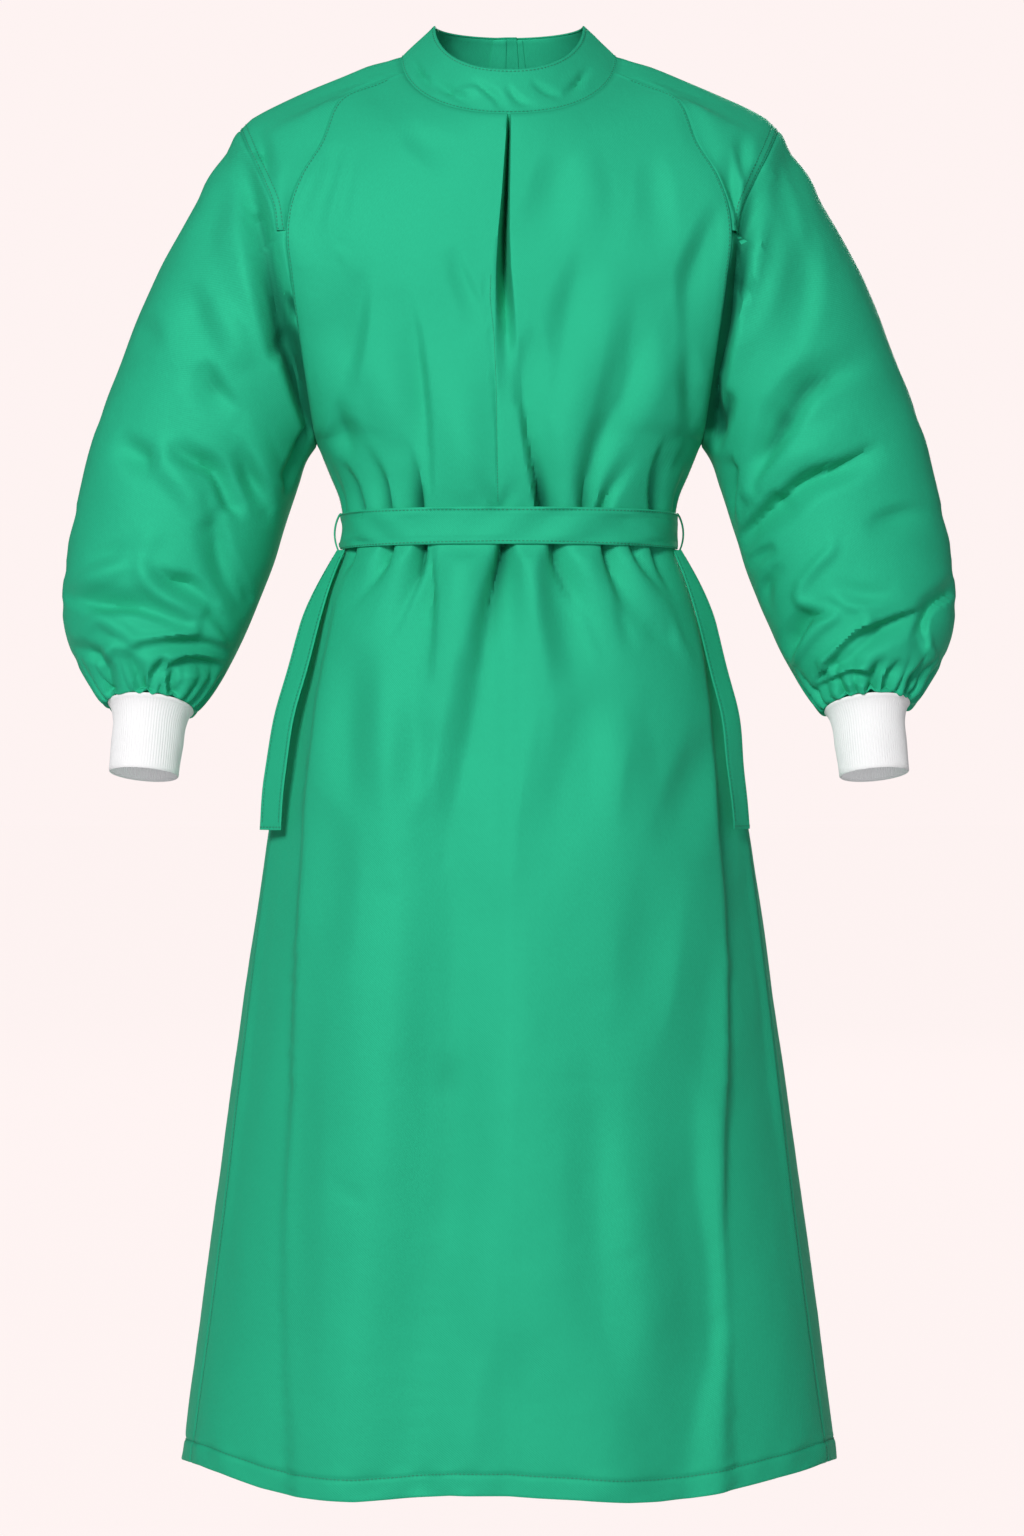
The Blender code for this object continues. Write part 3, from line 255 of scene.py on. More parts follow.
# The front, by its pixels in the photograph.
FRONT_FOLDS = table(
    FOLD_COLUMNS,
    # Bodice, up from the belt
    (361, 514, 356, 498, 350, 482, 337, 458, 14, 9, 0, 10, 18, -0.5, -0.8),
    (388, 514, 382, 488, 374, 468, 358, 440, 12, 7, 0, 9, 22, -0.4, -0.7),
    (421, 514, 418, 490, 411, 460, 400, 420, 15, 8, 0, 11, 30, -0.7, -0.8),
    (430, 470, 424, 400, 416, 340, 404, 280, 3, 5.5, 0, 22, 48, -0.8, -0.3),
    (404, 470, 396, 420, 388, 370, 384, 300, 2, -4, 0, 22, 34),
    (499, 514, 492, 497, 484, 485, 474, 472, 4.5, 2, 0, 6, 12),
    (500, 514, 508, 498, 516, 488, 524, 478, 4, 1.5, 0, 6, 12),
    (540, 514, 536, 480, 529, 440, 523, 395, 16, 9, 4, 13, 26, 0.7, -0.8),
    (523, 400, 524, 376, 529, 352, 545, 326, 4, 3.5, 0, 20, 30, 0.5, -0.3),
    (586, 514, 588, 482, 600, 440, 620, 400, 10, 8, 5, 11, 28, 0.1, -0.7),
    (620, 404, 636, 365, 652, 325, 672, 270, 5, 6, 0, 28, 40, 0, -0.3),
    (566, 480, 572, 430, 578, 380, 592, 320, 0, -4.5, 0, 22, 34),
    (604, 514, 612, 495, 622, 478, 640, 450, 9, 5, 0, 9, 20, -0.5, -0.7),
    (654, 514, 654, 488, 658, 465, 668, 436, 13, 8, 0, 10, 22, 0.65, -0.8),
    (664, 490, 664, 476, 668, 462, 676, 446, 0, 4, 0, 10, 12),
    (470, 500, 466, 460, 460, 410, 450, 340, -1, -4, 0, 24, 36),
    # Bodice, chest
    (362, 270, 358, 310, 350, 350, 334, 400, 0, 6, 2, 26, 40, -0.5, -0.3),
    (334, 396, 336, 420, 344, 440, 356, 462, 2, 7, 0, 14, 20, 0.2, -0.5),
    (584, 250, 574, 286, 566, 330, 558, 410, 0, 4, 2, 20, 34, 0.3, -0.4),
    (724, 200, 706, 238, 690, 285, 690, 350, 0, 6, 2, 20, 28, 0.3, -0.4),
    (690, 340, 692, 380, 694, 410, 690, 450, 2, 6, 0, 14, 18, 0, -0.3),
    (660, 290, 654, 330, 652, 380, 650, 430, 0, -4, 0, 20, 26),
    (339, 140, 330, 172, 316, 215, 306, 266, 0, 3.5, 0, 10, 22),
    (356, 148, 347, 180, 338, 215, 334, 240, 0, 2, 0, 8, 18),
    (330, 258, 338, 250, 352, 256, 366, 272, 0, -1.5, 0, 12, 20),
    (560, 150, 556, 175, 550, 210, 540, 250, 0, 2.5, 0, 16, 28),
    (585, 140, 588, 170, 590, 200, 580, 240, 0, -1.5, 0, 14, 24),
    (650, 150, 654, 180, 656, 220, 652, 260, 0, 2.2, 0, 14, 26),
    (455, 245, 463, 270, 476, 300, 488, 330, 0, 2.5, 0, 10, 16, -0.4),
    (400, 120, 416, 135, 436, 150, 462, 160, 0, 2.2, 0, 14, 22),
    (690, 440, 684, 458, 676, 470, 668, 484, 1, 3, 0, 8, 12),
    # Centre-front seam
    (491, 276, 490, 300, 494, 336, 496, 380, 0.5, 0.9, 0.9, 2.2, 2.2),
    (496, 380, 497, 420, 498, 460, 498, 512, 0.9, 0.9, 0.9, 2.2, 2.2),
    # Skirt, down from the belt
    (355, 538, 352, 552, 347, 564, 338, 580, 7, 5, 0, 6, 18, -0.5, -0.9),
    (391, 538, 387, 556, 370, 584, 344, 614, 10, 7, 0, 6, 26, -0.5, -0.9),
    (424, 536, 419, 566, 404, 604, 385, 650, 13, 9, 0, 6.5, 36, -0.4, -0.8),
    (432, 538, 433, 580, 433, 620, 428, 690, 1, 7, 0, 12, 34, -0.85, -0.6),
    (503.5, 536, 497, 566, 487, 612, 478, 672, 14, 10, 6.5, 7, 44, 0.6, -0.8),
    (478, 668, 473, 712, 458, 784, 444, 838, 6.5, 8, 8, 40, 56, 0.45, -0.6),
    (551, 536, 556, 566, 576, 604, 604, 650, 12, 8, 0, 6.5, 34, 0.5, -0.8),
    (554, 560, 560, 610, 576, 660, 590, 716, 4, 6, 0, 20, 44, 0.2),
    (603, 536, 610, 562, 620, 590, 634, 640, 11, 7, 0, 6.5, 28, 0.5, -0.8),
    (634, 538, 640, 556, 652, 578, 668, 606, 7, 4, 0, 6, 18, -0.3, -0.8),
    (654, 538, 657, 552, 664, 572, 676, 600, 9, 6, 0, 6.5, 14, 0.3, -0.8),
    (342, 538, 340, 556, 334, 576, 322, 610, 6, 4, 0, 7, 20, 0, -0.6),
    (373, 540, 373, 556, 366, 578, 352, 606, -3.5, -3, 0, 11, 18),
    (408, 540, 405, 564, 392, 600, 368, 650, -4, -4, 0, 12, 26),
    (466, 540, 463, 580, 456, 630, 448, 710, -4.5, -6, -2, 26, 36),
    (528, 540, 533, 580, 541, 630, 548, 700, -4, -4.5, 0, 18, 28),
    (578, 540, 588, 570, 606, 606, 634, 660, -3.5, -4, 0, 16, 26),
    (622, 542, 636, 568, 658, 598, 680, 640, -3, -4, 0, 10, 18, -0.4),
    (612, 596, 620, 612, 628, 628, 636, 652, 0, 3, 0, 8, 12, -0.5, -0.6),
    (640, 620, 650, 628, 662, 636, 676, 640, 0, 2, 0, 7, 9),
    (573, 590, 580, 610, 590, 634, 604, 668, 0, -1.5, 0, 6, 8),
    (394, 588, 385, 602, 375, 614, 365, 628, -1, -2, 0, 5, 7),
    (664, 600, 672, 624, 682, 648, 698, 672, 0, -2, 0, 7, 8),
    (360, 640, 352, 690, 348, 760, 356, 830, 0, 4.5, 0, 24, 34),
    (420, 700, 414, 750, 410, 800, 414, 860, 0, 3.5, 0, 20, 26),
    (384, 640, 382, 700, 384, 770, 392, 826, 0, -4, -1, 30, 36),
    (712, 716, 704, 760, 690, 800, 668, 860, 0, 6, 0, 22, 34),
    (616, 700, 622, 740, 626, 780, 628, 836, 0, -4, -1, 26, 34),
    # Skirt, long soft folds
    (444, 826, 452, 910, 452, 990, 446, 1080, 8, 9, 9.5, 56, 58, 0.1, -0.4),
    (447, 1074, 442, 1170, 428, 1264, 404, 1505, 9.5, 10, 8, 58, 64, 0, -0.4),
    (590, 690, 574, 750, 552, 820, 530, 900, 2.2, 4.3, 0, 38, 56, 0.2, -0.3),
    (556, 690, 548, 760, 540, 830, 533, 900, 0, 2.2, 0, 26, 34),
    (636, 735, 635, 765, 634, 800, 635, 838, 0, 1.5, 0, 18, 30, 0.4),
    (664, 860, 656, 920, 650, 990, 650, 1060, 0, 3.2, 0, 30, 40),
    (716, 880, 714, 960, 708, 1030, 696, 1110, 0, 4.3, 4.3, 36, 40, -0.3, -0.3),
    (696, 1100, 700, 1180, 712, 1260, 716, 1330, 4.5, 8, 8, 42, 46, -0.45, -0.4),
    (716, 1320, 712, 1360, 700, 1400, 684, 1505, 8, 7, 5.5, 46, 50, -0.45, -0.4),
    (325, 780, 330, 840, 326, 910, 312, 1000, 0, 3.6, 0, 24, 34),
    (300, 1010, 296, 1120, 292, 1240, 290, 1380, 0, 2.9, 1.4, 24, 34),
    (372, 860, 368, 980, 364, 1100, 360, 1220, 0, -4.3, -2.9, 46, 60),
    (360, 1220, 356, 1300, 350, 1380, 346, 1505, -2.9, -3.6, -3.6, 56, 60),
    (512, 920, 520, 1060, 532, 1180, 540, 1300, 0, -4.3, -3.6, 56, 76),
    (540, 1290, 560, 1350, 590, 1400, 620, 1505, -3.6, -3.6, -3.6, 60, 64),
    (628, 1100, 632, 1200, 640, 1290, 640, 1400, 0, -2.9, -2.2, 40, 50),
    (600, 1080, 592, 1170, 596, 1260, 606, 1350, 0, 2.2, 0, 24, 36),
    (520, 1330, 514, 1370, 508, 1410, 500, 1505, 0, 2.2, 2.2, 30, 40),
    # Small creases across the skirt
    (387, 1186, 430, 1170, 480, 1158, 530, 1168, 0, 1.3, 0, 8, 12, 0.3),
    (480, 1150, 520, 1164, 570, 1176, 622, 1158, 0, -1.2, 0, 7, 10),
    (540, 1084, 575, 1080, 610, 1084, 640, 1080, 0, 1.1, 0, 7, 10, 0.2),
    (330, 1172, 346, 1190, 362, 1200, 380, 1204, 0, 1, 0, 8, 10, 0.2),
    (560, 1250, 600, 1262, 640, 1256, 670, 1240, 0, 0.9, 0, 9, 12),
    (425, 1376, 455, 1370, 480, 1378, 510, 1372, 0, 0.9, 0, 8, 10),
    (340, 900, 380, 892, 420, 900, 450, 890, 0, 0.7, 0, 10, 12),
    (560, 985, 600, 992, 640, 984, 670, 990, 0, 0.7, 0, 10, 12),
    # The front panel's side ridges, with the sides set back
    (340, 562, 326, 620, 310, 690, 298, 775, 0, 3.7, 5.6, 22, 34, -0.75),
    (298, 770, 292, 855, 287, 950, 283, 1090, 5.6, 5.9, 5.9, 34, 40, -0.75),
    (283, 1086, 277, 1180, 277, 1280, 286, 1505, 5.9, 5, 3.1, 40, 42, -0.72),
    (696, 590, 710, 660, 720, 740, 727, 830, 0, 3.7, 5.9, 20, 32, 0.75),
    (727, 825, 735, 915, 738, 1015, 738, 1095, 5.9, 6.2, 6.2, 32, 40, 0.75),
    (738, 1090, 735, 1180, 734, 1290, 738, 1505, 6.2, 5.6, 3.7, 40, 46, 0.72),
)

# The yokes and sleeves, by their pixels in the photograph.
SLEEVE_FRONT_FOLDS = table(
    FOLD_COLUMNS,
    # Right arm, left in the photograph
    (243, 166, 252, 208, 268, 273, 286, 345, 5, 12, 20, 15, 21),
    (286, 340, 296, 366, 305, 396, 315, 424, 20, 21, 16, 21, 17, 0.2, -0.1),
    (234, 162, 240, 208, 254, 265, 276, 335, -1.4, -3.6, -4.2, 17.9, 24.6, -0.5),
    (276, 330, 286, 362, 298, 392, 310, 420, -4.2, -4, -2, 22.4, 17.9, -0.5),
    (256, 126, 260, 145, 264, 165, 267, 182, 1.4, 8.1, 1.4, 11.2, 13.4, 0.3, -0.4),
    (300, 308, 292, 300, 285, 292, 277, 281, 16, 12, 2, 14, 7, -0.3, -0.4),
    (314, 398, 308, 386, 303, 376, 296, 364, 18, 14, 2, 15, 8, -0.3, -0.4),
    (283, 262, 278, 258, 276, 254, 277, 248, 0, 5.4, 0, 9, 7.8, 0, -0.4),
    (224, 176, 214, 206, 208, 240, 212, 275, 0, 5.4, 0, 15.7, 26.9, 0, -0.4),
    (186, 280, 193, 302, 204, 330, 228, 360, 0, 6.8, 0, 22.4, 31.4, -0.3, -0.4),
    (198, 356, 208, 374, 220, 392, 238, 412, 0, 9.5, 1.4, 20.2, 20.2, -0.45, -0.4),
    (138, 316, 144, 326, 150, 338, 154, 356, 0, 4.1, 0, 13.4, 20.2, 0, -0.4),
    (205, 300, 225, 322, 240, 350, 246, 372, 0, -4.8, 0, 22.4, 26.9),
    (245, 210, 252, 250, 268, 300, 282, 340, 0, -2.4, 0, 22.4, 22.4),
    (116, 434, 130, 448, 146, 460, 160, 468, 0, 9.5, 0, 17.9, 22.4, 0.2, -0.4),
    (166, 446, 190, 460, 214, 474, 230, 506, 0, 12.2, 8.1, 13.4, 13.4, -0.35, -0.4),
    (214, 474, 224, 484, 230, 496, 230, 512, 2.7, 6.8, 0, 9, 9, -0.4, -0.4),
    (160, 446, 164, 464, 184, 486, 201, 512, -2.4, -6, -4.8, 15.7, 17.9),
    (239, 444, 250, 468, 260, 488, 268, 508, 1.4, 10.8, 2.7, 15.7, 13.4, -0.4, -0.4),
    (240, 420, 258, 452, 270, 480, 276, 504, 0, -4.8, -1.2, 17.9, 15.7),
    (214, 516, 220, 542, 230, 570, 248, 598, 4.1, 10.8, 5.4, 17.9, 17.9, -0.4, -0.4),
    (224, 548, 233, 572, 242, 592, 250, 610, -1.2, -3.6, -1.2, 6.7, 6.7),
    (150, 568, 168, 578, 190, 584, 210, 602, 0, 10.8, 4.1, 15.7, 22.4, 0.5, -0.4),
    (147, 536, 139, 564, 158, 588, 198, 612, -1.2, -5.4, -4.8, 13.4, 13.4),
    (72, 598, 100, 605, 140, 608, 190, 626, 4.1, 12.2, 2.7, 15.7, 15.7, -0.4, -0.4),
    (66, 592, 88, 580, 118, 564, 148, 538, -1.2, -5.4, -2.4, 13.4, 15.7),
    (76, 636, 98, 620, 120, 630, 136, 642, -1.2, -4.8, -3.6, 10.1, 10.1),
    (84, 560, 110, 556, 130, 552, 148, 538, 0, 4.1, 0, 15.7, 15.7, 0, -0.4),
    (140, 646, 168, 642, 196, 642, 226, 650, 4.1, 9.5, 4.1, 10.1, 12.3, 0.4, -0.4),
    (130, 640, 160, 640, 190, 632, 200, 616, -2.4, -4.2, -2.4, 9, 9),
    (197, 611, 210, 626, 222, 644, 234, 660, -1.2, -4.2, -2.4, 7.8, 7.8),
    (172, 668, 190, 662, 208, 664, 228, 668, 6.8, 12.2, 5.4, 10.1, 11.2, 0.3, -0.4),
    (76, 650, 90, 654, 102, 664, 110, 690, 2.7, 8.1, 6.8, 10.1, 9, 0.3, -0.4),
    (108, 680, 104, 662, 112, 648, 126, 648, 2.7, -4.8, -2.4, 9, 10.1, 0, -0.4),
    (139, 690, 134, 672, 130, 660, 128, 648, 6.8, 6.8, 0, 6.7, 10.1, 0.2, -0.4),
    (150, 690, 154, 674, 162, 664, 168, 656, 6.8, 6.8, 0, 6.7, 10.1, 0.2, -0.4),
    (172, 692, 172, 680, 176, 670, 184, 664, 8.1, 8.1, 0, 6.7, 10.1, 0.2, -0.4),
    (290, 476, 300, 458, 308, 440, 316, 424, 8.1, 13.5, 10.8, 15.7, 15.7, 0.3, -0.4),
    # Left arm, right in the photograph
    (759, 176, 753, 206, 745, 240, 736, 285, 5, 12, 20, 15, 19),
    (736, 282, 728, 306, 720, 335, 712, 366, 20, 22, 21, 19, 21, -0.2, -0.1),
    (712, 360, 709, 384, 708, 404, 712, 430, 21, 21, 18, 21, 17, -0.1, -0.1),
    (768, 180, 762, 216, 754, 256, 742, 300, -0.8, -3.4, -4, 17.9, 20.2, 0.5),
    (742, 296, 732, 326, 722, 352, 718, 376, -4, -4, -2.6, 20.2, 17.9, 0.5),
    (724, 402, 722, 412, 718, 424, 712, 442, 10, 13, 10, 13, 13, 0, -0.4),
    (728, 148, 731, 172, 735, 200, 740, 232, 0, 6.8, 2.7, 13.4, 10.1, 0, -0.4),
    (742, 132, 742, 150, 744, 170, 748, 186, 0, 5.4, 0, 11.2, 11.2, 0, -0.4),
    (800, 228, 806, 262, 800, 312, 768, 372, 1.2, 6.5, 0.8, 20.2, 26.9, -0.2),
    (781, 146, 793, 180, 802, 228, 816, 262, 0.7, -1.8, 0, 6.7, 11.2, 0, -0.4),
    (776, 210, 770, 250, 752, 300, 732, 342, 0, 6.5, 0, 20.2, 24.6, 0, -0.4),
    (876, 354, 838, 374, 808, 390, 786, 424, 0, 10.8, 10.8, 20.2, 22.4, -0.3, -0.4),
    (786, 420, 776, 440, 764, 460, 752, 482, 10.8, 10.8, 2.7, 22.4, 13.4, -0.3, -0.4),
    (760, 500, 748, 492, 748, 482, 756, 470, -1.2, -4.8, -2.4, 11.2, 11.2),
    (881, 442, 848, 462, 806, 478, 776, 504, 1, 14, 11, 14, 17, 0.5, -0.4),
    (776, 500, 762, 514, 750, 526, 736, 542, 14.9, 12.2, 8.1, 19, 13.4, 0.5, -0.4),
    (862, 428, 824, 446, 792, 458, 764, 482, 0, -6, -3.6, 22.4, 20.2),
    (864, 528, 884, 518, 908, 512, 934, 512, 0, 6.8, 1.4, 13.4, 20.2, 0.4, -0.4),
    (831, 536, 831, 550, 816, 566, 802, 584, -0.6, -4.2, -3.6, 7.8, 9),
    (802, 584, 800, 598, 810, 608, 830, 612, -3.6, -4.8, -3.6, 9, 9),
    (828, 592, 846, 604, 868, 608, 894, 602, 0, -3, 0, 6.7, 9),
    (832, 580, 852, 590, 876, 594, 900, 588, 0, 3.4, 0, 11.2, 13.4, 0, -0.4),
    (774, 570, 765, 584, 762, 600, 766, 616, 2.7, 6.8, 1.4, 9, 10.1, 0.3, -0.4),
    (750, 562, 758, 556, 768, 550, 776, 546, 4.1, 5.4, 0, 11.2, 11.2, 0, -0.4),
    (828, 612, 808, 618, 796, 634, 788, 655, 4.1, 13.5, 10.8, 11.2, 13.4, -0.3, -0.4),
    (832, 617, 818, 628, 804, 644, 792, 660, -3.6, -4.8, -4.8, 9, 9),
    (928, 609, 890, 622, 856, 638, 828, 666, 5, 14, 10, 13, 15, 0.6, -0.4),
    (864, 612, 868, 626, 850, 644, 826, 662, -2.4, -6, -4.8, 10.1, 10.1),
    (826, 664, 832, 674, 850, 672, 866, 668, -4.2, -4.8, -3.6, 7.8, 9),
    (868, 676, 850, 674, 834, 680, 816, 690, 8.1, 9.5, 5.4, 7.8, 10.1, 0.3, -0.4),
    (956, 592, 936, 608, 926, 628, 926, 640, 6.8, 9.5, 4.1, 11.2, 11.2, -0.7, -0.4),
    (926, 636, 928, 646, 932, 654, 938, 664, -1.2, -3.6, -1.2, 6.7, 6.7),
    (870, 690, 872, 676, 880, 666, 890, 656, 8.1, 6.8, 0, 6.7, 10.1, 0.2, -0.4),
    (886, 690, 890, 676, 896, 668, 904, 660, 8.1, 8.1, 0, 6.7, 10.1, 0.2, -0.4),
    (908, 692, 914, 680, 922, 672, 930, 662, 6.8, 8.1, 0, 7.8, 11.2, 0.2, -0.4),
    (846, 694, 842, 686, 838, 682, 832, 676, 5.4, 5.4, 0, 6.7, 9, 0, -0.4),
    (732, 470, 731, 490, 731, 510, 733, 530, 6.8, 10.8, 4.1, 11.2, 11.2, -0.4, -0.4),
    (734, 478, 737, 495, 736, 515, 734, 535, -1.2, -3.6, -1.2, 5.6, 5.6),
)

COLLAR_FRONT_FOLDS = table(
    FOLD_COLUMNS,
    (428, 78, 444, 88, 458, 96, 470, 104, 0, 3.4, 0.7, 6, 8, 0, -0.6),
    (470, 80, 482, 88, 494, 97, 500, 106, 0, 3.1, 1.4, 5, 7, -0.3, -0.6),
    (506, 84, 512, 92, 520, 100, 532, 105, 0, 2.8, 0.7, 5, 6, 0.3, -0.6),
    (530, 80, 540, 88, 554, 94, 566, 96, 0, 2.8, 0, 5, 7, 0, -0.6),
    (590, 66, 582, 78, 574, 88, 562, 98, 0, 3.4, 0.7, 5, 8, 0, -0.6),
    (412, 60, 420, 72, 428, 84, 436, 92, 0.7, 2.8, 0, 5, 7, 0, -0.6),
    (448, 96, 460, 92, 474, 90, 488, 94, 0, -1.7, 0, 5, 6, 0, -0.6),
)

# The back, in millimetres: x and then the level below the origin.
BACK_FOLDS = table(
    FOLD_COLUMNS,
    (-118, 410, -121, 392, -126, 372, -136, 335, 10, 6, 0, 8, 18, 0.3),
    (-84, 410, -83, 380, -86, 345, -96, 300, 13, 8, 0, 9, 24, 0.5),
    (-38, 410, -40, 385, -38, 350, -32, 305, 11, 6, 0, 8, 22, -0.4),
    (34, 410, 37, 380, 40, 340, 46, 285, 13, 8, 0, 9, 26, -0.5),
    (76, 410, 79, 388, 81, 362, 82, 328, 11, 6, 0, 8, 20, 0.2),
    (116, 410, 121, 388, 126, 362, 134, 328, 10, 6, 0, 8, 18, -0.3),
    (-10, 410, -11, 396, -14, 380, -20, 362, 8, 4, 0, 7, 14),
    (12, 410, 14, 396, 16, 382, 22, 366, 7, 4, 0, 7, 14),
    (-96, 300, -104, 250, -120, 200, -146, 150, 2, 4.5, 0, 22, 30),
    (46, 285, 60, 240, 86, 190, 120, 150, 2, 4.5, 0, 24, 32),
    (-60, 60, -70, 110, -76, 160, -70, 220, 0, 3.5, 0, 26, 34),
    (64, 56, 76, 104, 84, 150, 80, 210, 0, 3.5, 0, 26, 34),
    (-150, 130, -146, 180, -150, 240, -158, 300, 0, 6, 0, 16, 20),
    (152, 130, 148, 180, 150, 240, 158, 300, 0, 6, 0, 16, 20),
    (-20, 90, -24, 150, -26, 220, -22, 300, 0, -2.5, 0, 30, 36),
    (26, 110, 24, 170, 22, 240, 24, 300, 0, -2, 0, 26, 32),
    (-126, 412, -130, 440, -138, 480, -152, 545, 14, 8, 0, 8, 24, 0.4),
    (-90, 412, -94, 460, -104, 530, -124, 650, 21, 13, 0, 9, 42, 0.4),
    (-44, 412, -48, 450, -54, 520, -64, 630, 17, 11, 0, 9, 36, -0.4),
    (46, 412, 50, 460, 58, 540, 72, 690, 21, 13, 0, 9, 42, 0.4),
    (92, 412, 97, 450, 106, 510, 126, 610, 17, 10, 0, 9, 34, -0.4),
    (128, 412, 132, 440, 140, 475, 152, 535, 14, 8, 0, 8, 22, -0.3),
    (-66, 414, -69, 440, -74, 480, -84, 540, -3.5, -3.5, 0, 12, 24),
    (-20, 414, -22, 450, -26, 520, -32, 620, -3, -3.5, 0, 14, 26),
    (22, 414, 24, 450, 28, 510, 34, 610, -3, -3.5, 0, 14, 26),
    (70, 414, 74, 450, 82, 510, 96, 610, -3.5, -3.5, 0, 12, 26),
    (-12, 412, -14, 440, -18, 490, -22, 560, 12, 6, 0, 8, 20, 0.3),
    (14, 412, 16, 436, 18, 470, 24, 530, 10, 5, 0, 8, 18, -0.3),
    (-96, 700, -110, 880, -118, 1040, -122, 1230, 4, 9, 11, 40, 64, 0, 0.3),
    (74, 740, 92, 900, 102, 1060, 108, 1230, 4, 9, 11, 40, 66, 0, 0.3),
    (-206, 840, -212, 980, -216, 1110, -218, 1230, 3, 7, 8, 28, 38),
    (200, 800, 208, 950, 214, 1100, 216, 1230, 3, 7, 8, 28, 38),
    (-34, 760, -40, 900, -44, 1060, -46, 1230, 0, 4, 6, 30, 44),
    (30, 820, 34, 950, 36, 1090, 38, 1230, 0, 3.5, 5, 30, 40),
    (-166, 720, -170, 880, -172, 1050, -174, 1230, 0, -4, -4, 40, 48),
    (156, 700, 160, 880, 164, 1050, 166, 1230, 0, -4, -4, 40, 48),
    (-160, 1000, -110, 988, -60, 996, -20, 984, 0, 1.2, 0, 9, 13, 0.2),
    (20, 1044, 60, 1056, 110, 1044, 160, 1054, 0, 1.2, 0, 9, 13),
    (-140, 1110, -100, 1120, -60, 1112, -20, 1118, 0, -1, 0, 9, 12),
    (40, 930, 80, 922, 120, 930, 160, 920, 0, 1, 0, 9, 12),
)
SLEEVE_BACK_FOLDS = table(
    FOLD_COLUMNS,
    (-230, 110, -222, 160, -208, 220, -184, 300, 4, 13, 7, 14, 18, -0.3),
    (230, 108, 221, 158, 206, 218, 182, 298, 4, 13, 7, 14, 18, 0.3),
    (-300, 150, -286, 200, -262, 250, -228, 290, 0, 6, 1, 20, 24),
    (300, 150, 284, 205, 262, 255, 230, 296, 0, 6, 1, 20, 24),
    (-336, 250, -300, 262, -260, 290, -216, 348, 1, 9, 7, 14, 20, -0.4),
    (338, 262, 300, 276, 258, 304, 214, 352, 1, 9, 7, 14, 20, -0.4),
    (-350, 330, -310, 320, -270, 336, -224, 384, 0, -5, -2, 16, 18),
    (352, 330, 312, 330, 270, 346, 226, 388, 0, -5, -2, 16, 18),
    (-374, 400, -330, 392, -280, 402, -236, 440, 3, 10, 5, 12, 16, -0.4),
    (376, 392, 330, 398, 282, 406, 238, 436, 3, 10, 5, 12, 16, -0.4),
    (-380, 446, -340, 430, -300, 432, -262, 456, -1, -5, -2, 12, 14),
    (380, 446, 342, 432, 300, 436, 264, 458, -1, -5, -2, 12, 14),
    (-376, 492, -340, 472, -300, 470, -256, 494, 4, 9, 4, 10, 13, 0.4),
    (374, 494, 336, 476, 300, 474, 258, 492, 4, 9, 4, 10, 13, 0.4),
    (-352, 526, -330, 508, -300, 506, -276, 520, 4, 6, 3, 8, 10, 0.3),
    (352, 524, 328, 508, 300, 508, 276, 522, 4, 6, 3, 8, 10, 0.3),
    (-250, 330, -262, 360, -282, 384, -312, 396, 1, 6, 1, 12, 14),
    (252, 332, 266, 362, 288, 386, 316, 396, 1, 6, 1, 12, 14),
    (-212, 100, -200, 130, -192, 160, -190, 190, 0, 4, 0, 12, 14),
    (212, 100, 200, 130, 192, 160, 190, 190, 0, 4, 0, 12, 14),
)

# The outer sides of the sleeves and of the skirt, in millimetres: depth, then the level.
SLEEVE_SIDE_FOLDS = table(
    FOLD_COLUMNS,
    (-20, 110, -26, 160, -22, 220, -4, 270, 0, 1, 0.2, 14, 20, 0.2),
    (34, 120, 38, 180, 30, 240, 12, 300, 0, 1, 0.2, 16, 20, -0.2),
    (-46, 250, -20, 300, 10, 330, 44, 340, 0.2, 1.2, 0.4, 14, 18, 0.3),
    (48, 380, 20, 396, -10, 396, -44, 378, 0.6, 1.6, 0.6, 11, 14, 0.3),
    (-50, 432, -20, 446, 12, 448, 44, 432, 0.6, 1.6, 0.6, 10, 12, -0.3),
    (-44, 410, -14, 420, 14, 420, 44, 410, -0.2, -0.8, -0.2, 10, 12),
    (-48, 490, -20, 474, 4, 476, 36, 494, 0.6, 1.6, 0.8, 9, 11, 0.3),
    (-50, 510, -30, 522, -10, 520, 14, 506, 0.6, 1, 0.4, 7, 9),
)
BODY_SIDE_FOLDS = table(
    FOLD_COLUMNS,
    (12, 436, 16, 500, 20, 580, 22, 690, 6, 7, 1, 9, 24, 0.3),
    (-20, 436, -34, 500, -44, 580, -56, 690, 4, 5, 1, 9, 22, -0.2),
    (40, 440, 52, 510, 62, 600, 70, 700, 4, 6, 1, 9, 24, 0.3),
    (20, 700, 16, 880, 10, 1050, 6, 1230, 2, 7, 9, 30, 46, 0, 0.3),
    (84, 800, 92, 950, 98, 1100, 100, 1230, 2, 5, 6, 26, 38),
    (20, 400, 24, 380, 34, 360, 48, 344, 5, 3, 0, 8, 14),
    (-24, 400, -28, 380, -36, 362, -50, 346, 5, 3, 0, 8, 14),
    (-10, 1010, 20, 1004, 50, 1010, 84, 1002, 0, 1, 0, 9, 12),
)

# How far the hem hangs above or below the plain form, by its pixels in the photograph.
HEM_SHIFT = table(
    "across up",
    (178, 6), (200, 8), (220, 6), (240, 2.5), (260, -1), (290, -4.2), (320, -5),
    (354, -5), (390, -2.5), (420, 0), (450, 2.4), (509, 2.4), (540, 0.8), (578, -0.8),
    (628, -4.2), (660, -5), (690, -4.2), (720, -1.7), (750, 1.7), (780, 5), (820, 8),
    (838, 7),
)

# The seam below the pleat, by its pixels in the photograph.
CENTRE_SEAM = table("down across", (276, 491), (300, 490), (336, 494), (380, 496), (505, 498))

